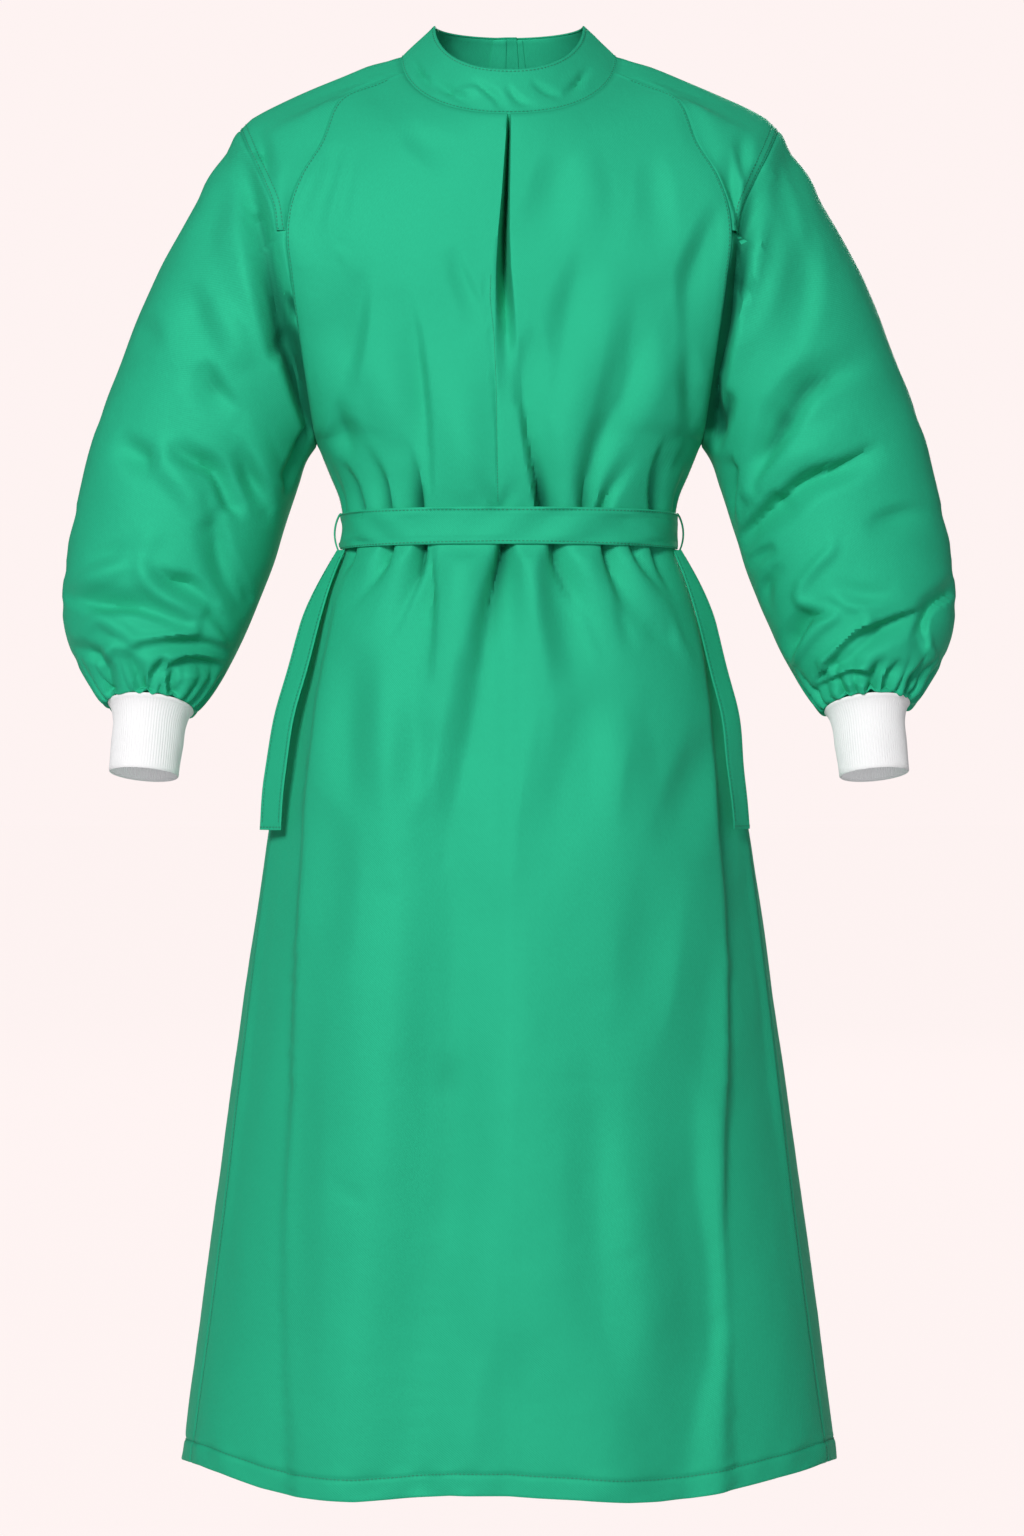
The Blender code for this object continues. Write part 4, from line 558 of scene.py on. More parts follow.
# The ties, down their middle: x outward, depth, level and turn of the strip's face.
TIES = {
    "tie_right": table(
        "x y z turn",
        (-148.5, -30.5, -429, 48),
        (-164, -42, -470, 46),
        (-176, -48, -515, 42),
        (-191, -52, -570, 40),
        (-200, -55, -625, 38),
        (-203.5, -57, -669, 38)),
    "tie_left": table(
        "x y z turn",
        (148.5, -30.5, -429, -48),
        (163.5, -42, -470, -46),
        (174.5, -48, -515, -46),
        (188, -52, -570, -46),
        (194, -55, -625, -50),
        (198.5, -57, -668, -52)),
}


# ---------------------------------------------------------------- shapes


def step(value, low, high):
    """A soft step from 0 at low to 1 at high."""
    t = np.clip((value - low) / (high - low), 0.0, 1.0)
    return t * t * (3.0 - 2.0 * t)


def unit(vectors):
    """Vectors of length 1."""
    return vectors / np.maximum(np.linalg.norm(vectors, axis=-1, keepdims=True), 1e-9)


def mirrored(points):
    """Points on the other side of the body."""
    return points * np.array([-1.0, 1.0, 1.0])


def smooth_through(values, knots, at):
    """Cubic pieces through values at the knots, whose slopes are the mean slopes there."""
    values, knots, at = (np.asarray(item, float) for item in (values, knots, at))
    spans = np.diff(knots).reshape((-1,) + (1,) * (values.ndim - 1))
    slopes = np.diff(values, axis=0) / spans
    inner = (slopes[:-1] * spans[1:] + slopes[1:] * spans[:-1]) / (spans[:-1] + spans[1:])
    tangents = np.concatenate([slopes[:1], inner, slopes[-1:]])
    piece = np.clip(np.searchsorted(knots, at, side="right") - 1, 0, len(knots) - 2)
    span = spans[piece]
    t = (at - knots[piece]).reshape(span.shape) / span
    return ((2 * t**3 - 3 * t**2 + 1) * values[piece]
            + (t**3 - 2 * t**2 + t) * span * tangents[piece]
            + (3 * t**2 - 2 * t**3) * values[piece + 1]
            + (t**3 - t**2) * span * tangents[piece + 1])


def lengths(points):
    """The length run along a line of points, up to each."""
    return np.r_[0.0, np.cumsum(np.linalg.norm(np.diff(points, axis=0), axis=1))]


def between(values, run, at):
    """Points or directions at some lengths along a line, from those at its own points."""
    return np.stack([np.interp(at, run, values[:, k]) for k in range(3)], -1)


def spread(points, fractions):
    """Points at fractions of the length of a line."""
    run = lengths(points)
    return between(points, run, np.asarray(fractions) * run[-1])


def even(count):
    """Even fractions from 0 to 1."""
    return np.linspace(0.0, 1.0, count + 1)


def neck_point(angle, top=False):
    """A point of the collar's lower or upper edge, by its angle round from the front."""
    t = math.radians(angle)
    forward, side = math.cos(t), math.sin(t)
    if top:
        level = -20.0 + 50.0 * (1 - max(forward, 0.0))**1.1 + 1.5 * max(-forward, 0.0)
        depth = -62.0 * forward if forward > 0 else -58.0 * forward
        return (COLLAR_TOP_HALF_WIDTH * side, depth, level)
    level = -60.0 + 64.0 * (1 - max(forward, 0.0))**1.1 - 14.0 * max(-forward, 0.0)**1.5
    depth = FRONT_NECK_DEPTH * forward if forward > 0 else -BACK_NECK_DEPTH * forward
    return (NECK_HALF_WIDTH * side, depth, level)


def neck_arc(first, last, fractions):
    """Points of the collar's lower edge between two angles."""
    angles = np.linspace(first, last, 160)
    return spread(np.array([neck_point(a) for a in angles]), fractions)


def seam_line(seam, fractions, first=0, last=None, neck=None):
    """Points at fractions of the length of a smooth seam through a table's points."""
    points = np.stack([seam["x"], seam["y"], seam["z"]], -1)
    if neck is not None:
        points[0] = neck_point(neck)
    last = len(points) - 1 if last is None else last
    knots = lengths(points)
    dense = smooth_through(points, knots, np.linspace(knots[first], knots[last], 400))
    return spread(dense, fractions)


def raglan(seam):
    """One raglan seam as two runs of points that meet where the yoke ends."""
    neck = FRONT_NECK_ANGLE if seam is FRONT_RAGLAN else BACK_NECK_ANGLE
    upper = seam_line(seam, even(ROWS_UPPER), last=RAGLAN_JOINT, neck=neck)
    lower = seam_line(seam, even(ROWS_LOWER), first=RAGLAN_JOINT, neck=neck)
    return np.concatenate([upper, lower[1:]])


def pleat_at(level, what):
    """One of the pleat's sizes at a level."""
    return np.interp(-level, -PLEAT["level"], PLEAT[what])


def edged(length, count):
    """Fractions of a length with a few points close to its start, then even ones."""
    near = np.array(EDGE_COLUMNS) / length
    return np.r_[near[:-1], near[-1] + even(count) * (1.0 - near[-1])]


def front_fractions(length, mouth):
    """Where a front row's points lie along it: even at the sides, then the pleat's."""
    edge = 0.5 - mouth / length
    sides = edged(length * edge, COLUMNS_SIDE) * edge
    half = np.r_[sides, 0.5 - np.array(PLEAT_COLUMNS[1:]) * mouth / length]
    return np.r_[half, 0.5, 1.0 - half[::-1]]


def back_fractions(length):
    """Where a back row's points lie along it, from the opening to the seam."""
    return 1.0 - edged(length, COLUMNS_BACK)[::-1]


def half_row(side, middle, round_out, round_in, sag=2.0, count=200):
    """Half a row from the middle to a seam: a section whose roundness is set at both ends."""
    s = np.sin(np.linspace(0.0, math.pi / 2, count))
    depth = side[1] + (middle[1] - side[1]) * (1 - s**round_out)**(1 / round_in)
    return np.stack([side[0] * s, depth, middle[2] + (side[2] - middle[2]) * s**sag], -1)


def upper_rows(seam, neck_depth, armpit_depth, neck_level, front):
    """The rows of the front, or of half the back, from the collar down to the armpits."""
    points = raglan(seam)
    share = lengths(points) / lengths(points)[-1]
    rows = []
    for k, (side, f) in enumerate(zip(points, share)):
        level = neck_level + (ARMPIT_LEVEL - neck_level) * f
        middle = (0.0, neck_depth + (armpit_depth - neck_depth) * f**0.55, level)
        half = half_row(side, middle, 2.0 + 0.4 * f, 1.5 + 0.9 * step(f, 0.5, 1.0))
        if front:
            whole = np.concatenate([mirrored(half[:0:-1]), half])
            row = spread(whole, front_fractions(lengths(whole)[-1], pleat_at(level, "mouth")))
            arc = neck_arc(-FRONT_NECK_ANGLE, FRONT_NECK_ANGLE, front_fractions(210.0, 1.6))
        else:
            row = spread(half, back_fractions(lengths(half)[-1]))
            arc = neck_arc(180.0, BACK_NECK_ANGLE, back_fractions(100.0))
        rows.append(row)
        if k == 0:
            change = arc - row
    return [row + change * (1 - step(f, 0.0, 0.45)) for row, f in zip(rows, share)]


def ring(section, first, last, count=500):
    """Part of a body section between two angles round from the front, in degrees."""
    t = np.radians(np.linspace(first, last, count))
    power = 2.0 / section["round"]
    x = section["half_width"] * np.sign(np.sin(t)) * np.abs(np.sin(t))**power
    reach = np.where(np.cos(t) > 0, -section["front"], section["back"])
    return np.stack([x, reach * np.abs(np.cos(t))**power, np.full(count, section["level"])], -1)


def body_sections():
    """Sections of the body at close, even levels below the armholes."""
    hem = BODY["level"][-1]
    above = np.array(HEM_ROWS)
    even_levels = np.linspace(BODY["level"][0], hem + above[0], ROWS_BODY + 1)[1:]
    levels = np.r_[even_levels, hem + above[1:]]
    found = {key: smooth_through(column, -BODY["level"], -levels) for key, column in BODY.items()}
    return [{key: float(column[i]) for key, column in found.items()} for i in range(len(levels))]


def seam_angle(section):
    """The angle of the side seam round from the front, in degrees."""
    behind = max(-section["seam"] / section["front"], 0.0)
    return math.degrees(math.acos(behind**(section["round"] / 2)))


def front_grid():
    """The whole front, from the collar to the hem."""
    rows = upper_rows(FRONT_RAGLAN, FRONT_NECK_DEPTH, FRONT_ARMPIT_DEPTH, FRONT_NECK_LEVEL, True)
    for section in body_sections():
        angle = seam_angle(section)
        line = ring(section, -angle, angle)
        mouth = pleat_at(section["level"], "mouth")
        rows.append(spread(line, front_fractions(lengths(line)[-1], mouth)))
    return np.array(rows)


def back_grid():
    """The left half of the back, from its opening to the raglan and side seam."""
    rows = upper_rows(BACK_RAGLAN, BACK_NECK_DEPTH, BACK_ARMPIT_DEPTH, BACK_NECK_LEVEL, False)
    for section in body_sections():
        line = ring(section, 180.0, seam_angle(section))
        rows.append(spread(line, back_fractions(lengths(line)[-1])))
    grid = np.array(rows)
    grid[:, 0, 0] = BACK_OPENING / 2
    return grid


def sleeve_ring(index, angles):
    """A sleeve section at angles round it: 0 outside, 90 in front, 180 under the arm."""
    row = {key: column[index] for key, column in SLEEVE.items()}
    t = np.radians(angles)
    outer = np.array([row["outer_x"], row["depth"], row["outer_z"]])
    inner = np.array([row["inner_x"], row["depth"], row["inner_z"]])
    tip = math.radians(row["tip"])
    forward = np.array([0.0, -math.cos(tip), math.sin(tip)])
    reach = np.where(np.sin(t) > 0, row["front"], row["back"])
    return ((outer + inner) / 2 + np.outer(np.cos(t), (outer - inner) / 2)
            + np.outer(reach * np.sin(t), forward))


def yoke_and_sleeve():
    """The rows of the yoke and of the sleeve on the left side, and the sleeve's angles."""
    front, back = raglan(FRONT_RAGLAN), raglan(BACK_RAGLAN)
    arc = neck_arc(FRONT_NECK_ANGLE, BACK_NECK_ANGLE, even(COLUMNS_NECK_SIDE))
    inner = np.concatenate([front[ROWS_UPPER::-1], arc[1:-1], back[:ROWS_UPPER + 1]])
    seam = seam_line(SHOULDER_SEAM, lengths(inner) / lengths(inner)[-1])
    loop = np.concatenate([front[:ROWS_UPPER - 1:-1], seam, back[ROWS_UPPER:-1]])
    run = lengths(np.concatenate([loop, loop[:1]]))
    first = ROWS_LOWER + 1
    top = first + int(np.argmax(seam[:, 2]))
    angles = np.where(np.arange(len(loop)) <= top, 180.0 * (1 - run[:-1] / run[top]),
                      -180.0 * (run[:-1] - run[top]) / (run[-1] - run[top]))
    rings = [sleeve_ring(i, angles) for i in range(len(SLEEVE["depth"]))]
    before = loop - 0.5 * (rings[0] - loop)
    before[first:first + len(inner)] = inner
    control = np.array([before, loop] + rings)
    knots = np.arange(len(control)) - 1.0
    yoke = smooth_through(control, knots, np.linspace(-1.0, 0.0, ROWS_YOKE + 1))
    yoke = yoke[:, first:first + len(inner)]
    yoke[0], yoke[-1] = inner, seam
    for end in (0, -1):
        yoke[:, end] = inner[end] + (seam[end] - inner[end]) * even(ROWS_YOKE)[:, None]
    near = np.array([0.0, 0.02, 0.05, 0.09])
    arm, wrist = 7.0, len(SLEEVE["depth"])
    places = np.r_[near, near[-1] + even(ROWS_SLEEVE)[1:] * (arm - near[-1]),
                   arm + even(ROWS_WRIST)[1:] * (wrist - arm)]
    sleeve = smooth_through(control, knots, places)
    sleeve[0] = loop
    return yoke, sleeve, places, angles


# ---------------------------------------------------------------- folds


def in_photo(points):
    """Where points lie in the photograph, in pixels, and the millimetres to a pixel there."""
    pixel = PHOTO_PIXEL * (CAMERA_AWAY + points[..., 1]) / CAMERA_AWAY
    across = PHOTO_MIDDLE[0] + points[..., 0] / pixel
    down = PHOTO_MIDDLE[1] - (points[..., 2] - CAMERA_LEVEL) / pixel
    return np.stack([across, down], -1), pixel


def fold_depth(places, unit_size, folds):
    """How far points at these places are pressed in by a table of strokes."""
    flat = places.reshape(-1, 2)
    size = np.broadcast_to(unit_size, places.shape[:-1]).reshape(-1)
    valleys, ridges = np.zeros(len(flat)), np.zeros(len(flat))
    for i in range(len(folds["x0"])):
        fold = {key: column[i] for key, column in folds.items()}
        knots = np.array([[fold[f"x{k}"], fold[f"y{k}"]] for k in range(4)])
        t = np.linspace(0.0, 1.0, 41)
        path = smooth_through(knots, np.linspace(0.0, 1.0, 4), t)
        reach = 1.9 * max(fold["wide0"], fold["wide1"]) / 0.8 + 8.0  # past it nothing is pressed
        low, high = path.min(0) - reach, path.max(0) + reach
        near = np.nonzero(((flat > low) & (flat < high)).all(1))[0]
        if not len(near):
            continue
        spot = flat[near]
        apart = ((spot[:, None] - path)**2).sum(-1)
        closest = np.argmin(apart, axis=1)
        way = np.gradient(path, axis=0)[closest]
        run = knots[-1] - knots[0]
        right = np.stack([-way[:, 1], way[:, 0]], -1)
        if abs(run[1]) >= abs(run[0]):
            right = right * -np.sign(run[1])
        else:
            right = right * np.sign(run[0])
        offset = spot - path[closest]
        side = (offset * right).sum(1)
        away = np.sqrt(apart[np.arange(len(near)), closest]) * size[near]
        ahead = (offset * way).sum(1) / np.maximum((way**2).sum(1), 1e-9)
        along = np.clip(t[closest] + ahead * (t[1] - t[0]), 0.0, 1.0)
        wide = fold["wide0"] + (fold["wide1"] - fold["wide0"]) * along
        wide = np.maximum(wide * (1 + np.tanh(side / 1.5) * fold["skew"]), 2.0)
        deep = [fold[f"deep{k}"] for k in range(3)]
        deep = smooth_through(deep, [0.0, 0.5, 1.0], along)
        press = deep * (1 - np.clip(away / wide, 0.0, 1.0)**(2.0 + fold["flat"]))**2
        valleys[near] += np.maximum(press, 0.0)**JOIN
        ridges[near] += np.maximum(-press, 0.0)**JOIN
    return (valleys**(1 / JOIN) - ridges**(1 / JOIN)).reshape(places.shape[:-1])


def uneven(points, size, seed):
    """Slight, repeatable unevenness of cloth that has been washed and pressed."""
    random = np.random.default_rng(seed)
    total = np.zeros(points.shape[:-1])
    for wave in UNEVEN_WAVES:
        for _ in range(2):
            way = unit(random.normal(size=3)) * 2 * math.pi / wave
            bend = unit(random.normal(size=3)) * 2 * math.pi / (wave * 2.7)
            swing = np.sin(points @ way + 1.6 * np.sin(points @ bend) + random.uniform(0, 6.3))
            total += wave / UNEVEN_WAVES[-1] * swing
    return total * size / 3.0


class Sheet:
    """A cloth piece as a grid of outer points, rows by columns."""

    def __init__(self, name, grid, closed=False, outward=None):
        self.name, self.closed = name, closed
        self.grid = np.array(grid, float)
        self.sign = 1.0
        normals = self.normals()
        if outward is None:
            centre = self.grid.mean(1, keepdims=True)
            facing = ((self.grid - centre) * normals).sum()
        else:
            facing = (normals * np.array(outward, float)).sum()
        self.sign = 1.0 if facing > 0 else -1.0
        self.base = self.normals()
        # Painted shade for the cloth's colour, from 0 to 1, filled in by the folding steps.
        self.painted_shade = np.zeros(self.grid.shape[:2])

    def normals(self):
        """Outward directions at the points, from the faces round them."""
        grid = self.grid
        if self.closed:
            grid = np.concatenate([grid, grid[:, :1]], 1)
        face = np.cross(grid[:-1, 1:] - grid[1:, :-1], grid[1:, 1:] - grid[:-1, :-1])
        face = unit(face) * np.sqrt(np.linalg.norm(face, axis=-1, keepdims=True))
        rows, columns = grid.shape[:2]
        total = np.zeros_like(grid)
        for a in (0, 1):
            for b in (0, 1):
                total[a:rows - 1 + a, b:columns - 1 + b] += face
        if self.closed:
            total[:, 0] += total[:, -1]
            total = total[:, :-1]
        return unit(total) * self.sign

    def from_edges(self):
        """The distance of each point from the sides, from the first row and from the last."""
        across = np.linalg.norm(np.diff(self.grid, axis=1), axis=-1)
        run = np.concatenate([np.zeros((len(across), 1)), np.cumsum(across, 1)], 1)
        down = np.linalg.norm(np.diff(self.grid, axis=0), axis=-1)
        fall = np.concatenate([np.zeros((1, down.shape[1])), np.cumsum(down, 0)], 0)
        return run, run[:, -1:] - run, fall, fall[-1:] - fall

    def push(self, out):
        """Moves the points out along the plain form's directions."""
        self.grid = self.grid + self.base * out[..., None]

    def border(self):
        """Row and column numbers of the points along the edge."""
        rows, columns = self.grid.shape[:2]
        if self.closed:
            return [(r, c) for r in (0, rows - 1) for c in range(columns)]
        return ([(0, c) for c in range(columns)]
                + [(r, columns - 1) for r in range(1, rows)]
                + [(rows - 1, c) for c in range(columns - 2, -1, -1)]
                + [(r, 0) for r in range(rows - 2, 0, -1)])


def sew(sheets):
    """One direction at each seam point, for pieces that face much the same way."""
    shared = {}
    for sheet in sheets:
        for r, c in sheet.border():
            shared.setdefault(tuple(np.round(sheet.grid[r, c], 2)), []).append((sheet, r, c))
    for places in shared.values():
        if len(places) < 2:
            continue
        own = np.array([sheet.base[r, c] for sheet, r, c in places])
        near = own @ own.T > 0.35
        for (sheet, r, c), row in zip(places, near):
            sheet.base[r, c] = unit(own[row].sum(0))


def facing(normals, axis, sign):
    """How much points face one way, from 0 to 1."""
    return step(sign * normals[..., axis], 0.05, 0.45)


def folds_on(sheet, front, back, side):
    """The depth of every stroke that reaches a piece."""
    places, pixel = in_photo(sheet.grid)
    total = fold_depth(places, pixel, front) * step(-sheet.base[..., 1], 0.10, 0.60)
    if back is not None:
        behind = np.stack([sheet.grid[..., 0], -sheet.grid[..., 2]], -1)
        total += fold_depth(behind, 1.0, back) * facing(sheet.base, 1, 1)
    if side is not None:
        beside = np.stack([sheet.grid[..., 1], -sheet.grid[..., 2]], -1)
        middle = sheet.grid[..., 0].mean()
        outer = np.sign(middle) if abs(middle) > 20 else 0
        weight = facing(sheet.base, 0, outer) if outer else step(abs(sheet.base[..., 0]), 0.3, 0.7)
        for sign in (-1, 1):
            weight = weight * (1 - 0.6 * facing(sheet.base, 1, sign))
        total += fold_depth(beside, 1.0, side) * weight
    return total


def lapped(distance, height, width=5.0):
    """A seam's upper side: raised over its turned edge and rounded off at the very edge."""
    return height * (1 - step(distance, 1.0, width)) + sunk(distance, height * 0.9, 0.9)


def sunk(distance, depth, width=2.8):
    """A seam's lower side, drawn in towards the stitching, or an edge rounded off."""
    return -depth * (1 - step(distance, 0.0, width))


def groove(distance, at, depth, width):
    """The groove that a row of stitches draws at some distance from an edge."""
    return -depth * np.exp(-((distance - at) / width)**2)


def painted_shade_at(depth, edge):
    """How much shade is painted into the cloth's colour where it is shut in, from 0 to 1: at the bottom of
    deep folds and along seams.
    """
    return np.clip(step(depth, 8.0, 22.0) + 0.34 * (1 - step(edge, 0.2, 1.5)), 0.0, 1.0)


def hem_puckers(bottom, waves):
    """The puckers that the hem's stitching leaves above and below it."""
    return waves * (1 - step(bottom, HEM_DEPTH, HEM_DEPTH + 9)) * step(bottom, 0, 8)


def fold_front(sheet, settings):
    """The front's folds, seams and hem, then its pleat."""
    left, right, top, bottom = sheet.from_edges()
    side = np.minimum(left, right)
    level = sheet.grid[..., 2]
    depth = folds_on(sheet, FRONT_FOLDS, None, BODY_SIDE_FOLDS) * settings.fold_strength
    depth *= step(top, 3.0, 40.0) * step(side, 0.0, 14.0)
    upper = step(level, -440.0, -330.0)
    # Painted shade for the cloth's colour: at the bottom of deep folds, stronger near and above the belt,
    # along the seams and along the hem's stitching.
    shaded = depth * (0.9 + 0.6 * step(level, -580.0, -480.0))
    edge = np.minimum(side / np.maximum(upper, 0.01), top)
    sheet.painted_shade = painted_shade_at(shaded, edge) + hem_painted_shade(bottom)
    waves = 1.2 * np.sin(left / 8.5 + 2.1 * np.sin(left / 41.0)) * np.sin(left / 61.0 + 1.0)
    rough = uneven(sheet.grid, settings.unevenness / MM, 3)
    out = -depth + rough * step(side, 0, 20) * step(top, 0, 30)
    out += lapped(side, 0.55) * (level > SIDE_SEAM_TOP) + sunk(top, 0.9)
    out += sunk(side, 0.7) * (level <= SIDE_SEAM_TOP)
    out += hem_relief(bottom) + hem_puckers(bottom, waves)
    from_belt = abs(level - (BELT_TOP + BELT_BOTTOM) / 2)
    out = np.minimum(out, 0.4 + 12.0 * step(from_belt, 17.0, 46.0))
    row_level = level.min(1)
    sheet.push(out)
    level_hem(sheet, bottom)
    share = np.r_[PLEAT_COLUMNS[1:], 0.0]
    share = np.r_[share, share[-2::-1]]
    middle, reach = sheet.grid.shape[1] // 2, len(PLEAT_COLUMNS)
    walls = 1 - step(share[None], 0.0, 1.0)
    sheet.grid[:, middle - reach + 1:middle + reach, 1] += pleat_at(row_level, "depth")[:, None] * walls
    near = 1 - step(abs(sheet.grid[..., 0]), 8.0, 60.0)
    sheet.grid[..., 0] -= pleat_at(row_level, "lean")[:, None] * near


def fold_back(sheet, settings, under):
    """The folds, seams and hem of half the back. One half goes under the other."""
    sign = -1 if under else 1
    opening, seam, top, bottom = sheet.from_edges()
    level = sheet.grid[..., 2]
    depth = folds_on(sheet, FRONT_FOLDS, BACK_FOLDS, BODY_SIDE_FOLDS) * settings.fold_strength
    depth *= step(top, 3.0, 40.0) * step(seam, 0.0, 14.0) * step(opening, 0.0, 10.0)
    # Painted shade for the cloth's colour at the bottom of deep folds, along the seams and along the hem's
    # stitching.
    sheet.painted_shade = painted_shade_at(depth * 0.9, np.minimum(seam + 1.0, top)) + hem_painted_shade(bottom)
    waves = 1.2 * np.sin(seam / 8.1 + sign + 2.1 * np.sin(seam / 37.0)) * np.sin(seam / 53.0)
    rough = uneven(sheet.grid, settings.unevenness / MM, 8)
    out = -depth + rough * step(np.minimum(seam, opening), 0, 20) * step(top, 0, 30)
    out += (lapped(seam, 0.55) * (level > SIDE_SEAM_TOP)
            + sunk(seam, 0.7) * (level <= SIDE_SEAM_TOP) + sunk(top, 0.9))
    out += hem_relief(bottom) + hem_puckers(bottom, waves)
    doubled = 1 - step(opening, OPENING_STITCHING, OPENING_STITCHING + 2.0)
    out += 0.5 * doubled + sunk(opening, 0.4, 1.2)
    sheet.push(out)
    level_hem(sheet, bottom)
    if under:
        lap = 1 - step(opening, 2.0, 16.0)
        sheet.grid[..., 0] += 9.0 * lap
        sheet.grid[..., 1] -= 2.2 * lap


def fold_yoke(sheet, settings):
    """A yoke's slight folds and its seams."""
    _, _, top, bottom = sheet.from_edges()
    depth = folds_on(sheet, SLEEVE_FRONT_FOLDS, SLEEVE_BACK_FOLDS, None) * settings.sleeve_strength
    edge = np.minimum(top, bottom)
    # Painted shade for the cloth's colour at the bottom of deep folds and along the seams.
    sheet.painted_shade = painted_shade_at(depth * 1.3, edge)
    rough = uneven(sheet.grid, settings.unevenness / MM, 5)
    out = -depth * step(top, 0.0, 10.0) + rough * step(edge, 0, 14)
    out += (sunk(top, 0.9) + lapped(bottom, 0.5, YOKE_STITCHING[1])
            + 3.0 * step(top, 3.0, 34.0) * step(bottom, 0.0, 16.0))
    sheet.push(out)


def fold_sleeve(sheet, settings, seed, places, angles, yoke_width):
    """A sleeve's folds, and its gathers above the cuff."""
    _, _, top, _ = sheet.from_edges()
    depth = folds_on(sheet, SLEEVE_FRONT_FOLDS, SLEEVE_BACK_FOLDS, SLEEVE_SIDE_FOLDS)
    depth = depth * settings.sleeve_strength * (1 - 0.6 * step(places, 9.8, 11.0))[:, None]
    # Painted shade for the cloth's colour in deep folds of the upper sleeve near the armhole, and along the
    # seam at its top.
    sheet.painted_shade = painted_shade_at(depth * 1.6 * (1 - step(places, 2.2, 4.2))[:, None], top)
    near = step(places, 7.6, 9.8)[:, None] * (1 - step(places, 10.5, 11.0) * 0.7)[:, None]
    turn = np.radians(angles)[None]
    phase = settings.gathers * turn + 1.5 * np.sin(3 * turn + seed) + 1.1 * np.sin(5 * turn + 2 * seed)
    height = 3.4 + 1.5 * np.sin(5 * turn + seed) + 0.9 * np.sin(9 * turn)
    wave = np.abs(np.cos((phase + 0.5 * np.sin(places[:, None] * 1.3 + 2 * turn)) / 2))
    puffs = 1.6 * (wave**0.8 - 0.72)
    sewn = np.zeros(sheet.grid.shape[1])
    sewn[ROWS_LOWER:ROWS_LOWER + len(yoke_width)] = yoke_width
    out = -depth * step(top + sewn, 0.0, 8.0) + height * puffs * near
    rough = uneven(sheet.grid, settings.unevenness / MM, seed)
    out += rough * step(top, 0, 14) * (1 - step(places, 9.0, 10.5))[:, None]
    out += sunk(top, 0.9)
    outer = step(np.cos(turn), 0.2, 0.8)
    out -= 7.0 * outer * step(top, 0.0, 24.0) * (1 - step(top, 24.0, 62.0))
    sheet.push(out)


def make_forms(settings):
    """Every sewn piece of cloth with its folds, keyed by name."""
    back = back_grid()
    yoke, sleeve, places, angles = yoke_and_sleeve()
    sheets = {
        "front": Sheet("front", front_grid(), outward=(0, -1, 0)),
        "back_left": Sheet("back_left", back, outward=(0, 1, 0)),
        "back_right": Sheet("back_right", mirrored(back), outward=(0, 1, 0)),
        "yoke_left": Sheet("yoke_left", yoke, outward=(0, 0, 1)),
        "yoke_right": Sheet("yoke_right", mirrored(yoke), outward=(0, 0, 1)),
        "sleeve_left": Sheet("sleeve_left", sleeve, closed=True),
        "sleeve_right": Sheet("sleeve_right", mirrored(sleeve), closed=True),
    }
    sew(sheets.values())
    fold_front(sheets["front"], settings)
    for side, seed in (("left", 11), ("right", 12)):
        fold_back(sheets[f"back_{side}"], settings, under=side == "right")
        yoke_width = sheets[f"yoke_{side}"].from_edges()[2][-1]
        fold_yoke(sheets[f"yoke_{side}"], settings)
        fold_sleeve(sheets[f"sleeve_{side}"], settings, seed, places, angles, yoke_width)
    sheets["collar"] = collar_sheet(settings)
    return sheets


def level_hem(sheet, bottom):
    """Raises and lowers the hem, and the cloth above it less and less."""
    across = in_photo(sheet.grid)[0][..., 0]
    share = (1 - step(bottom, 0.0, 150.0)) * (0.35 + 0.65 * facing(sheet.base, 1, -1))
    sheet.grid[..., 2] += np.interp(across, HEM_SHIFT["across"], HEM_SHIFT["up"]) * share


def hem_painted_shade(bottom):
    """The painted shade along the hem's stitching."""
    return 0.27 * np.exp(-((bottom - HEM_DEPTH) / 1.3)**2)


def hem_relief(bottom):
    """The turned hem: a double thickness with a soft groove along its stitching."""
    doubled = 0.7 * (1 - step(bottom, HEM_DEPTH - 1.0, HEM_DEPTH + 3.0))
    return doubled + groove(bottom, HEM_DEPTH, 1.3, 1.8) + sunk(bottom, 0.5, 1.2)


def collar_sheet(settings):
    """The stand collar, from the lower edge that it shares with the body to its top."""
    angles = np.r_[np.linspace(-186.0, -100.0, 66), np.linspace(-98.0, 98.0, 150),
                   np.linspace(100.0, 179.9, 61)]
    base = np.array([neck_point(a) for a in angles])
    top = np.array([neck_point(a, top=True) for a in angles])
    under = 2.6 * step(-angles, 168.0, 180.0)
    base[:, 1] -= under
    base[:, 2] -= 2.6
    top[:, 1] -= under
    share = np.r_[0.0, 0.02, 0.05, even(ROWS_COLLAR)[1:-1], 0.95, 0.975, 1.0]
    share.sort()
    sheet = Sheet("collar", base + (top - base) * share[:, None, None])
    _, _, low, high = sheet.from_edges()
    places, pixel = in_photo(sheet.grid)
    depth = fold_depth(places, pixel, COLLAR_FRONT_FOLDS) * facing(sheet.base, 1, -1) * settings.fold_strength
    edge = np.minimum(low, high)
    rough = uneven(sheet.grid * 1.6, settings.unevenness / MM * 0.8, 21)
    out = 0.4 - depth * step(edge, 1.0, 8.0) + rough * step(edge, 0, 8)
    out += (groove(edge, COLLAR_STITCHING, 0.35, 0.9) + sunk(edge, 0.9, 1.4)
            + 0.5 * (1 - step(low, 1.0, 4.0)))
    # Painted shade for the cloth's colour in the collar's folds and along its edges.
    sheet.painted_shade = painted_shade_at(depth * 2.0, edge)
    sheet.push(out)
    return sheet


# ---------------------------------------------------------------- materials


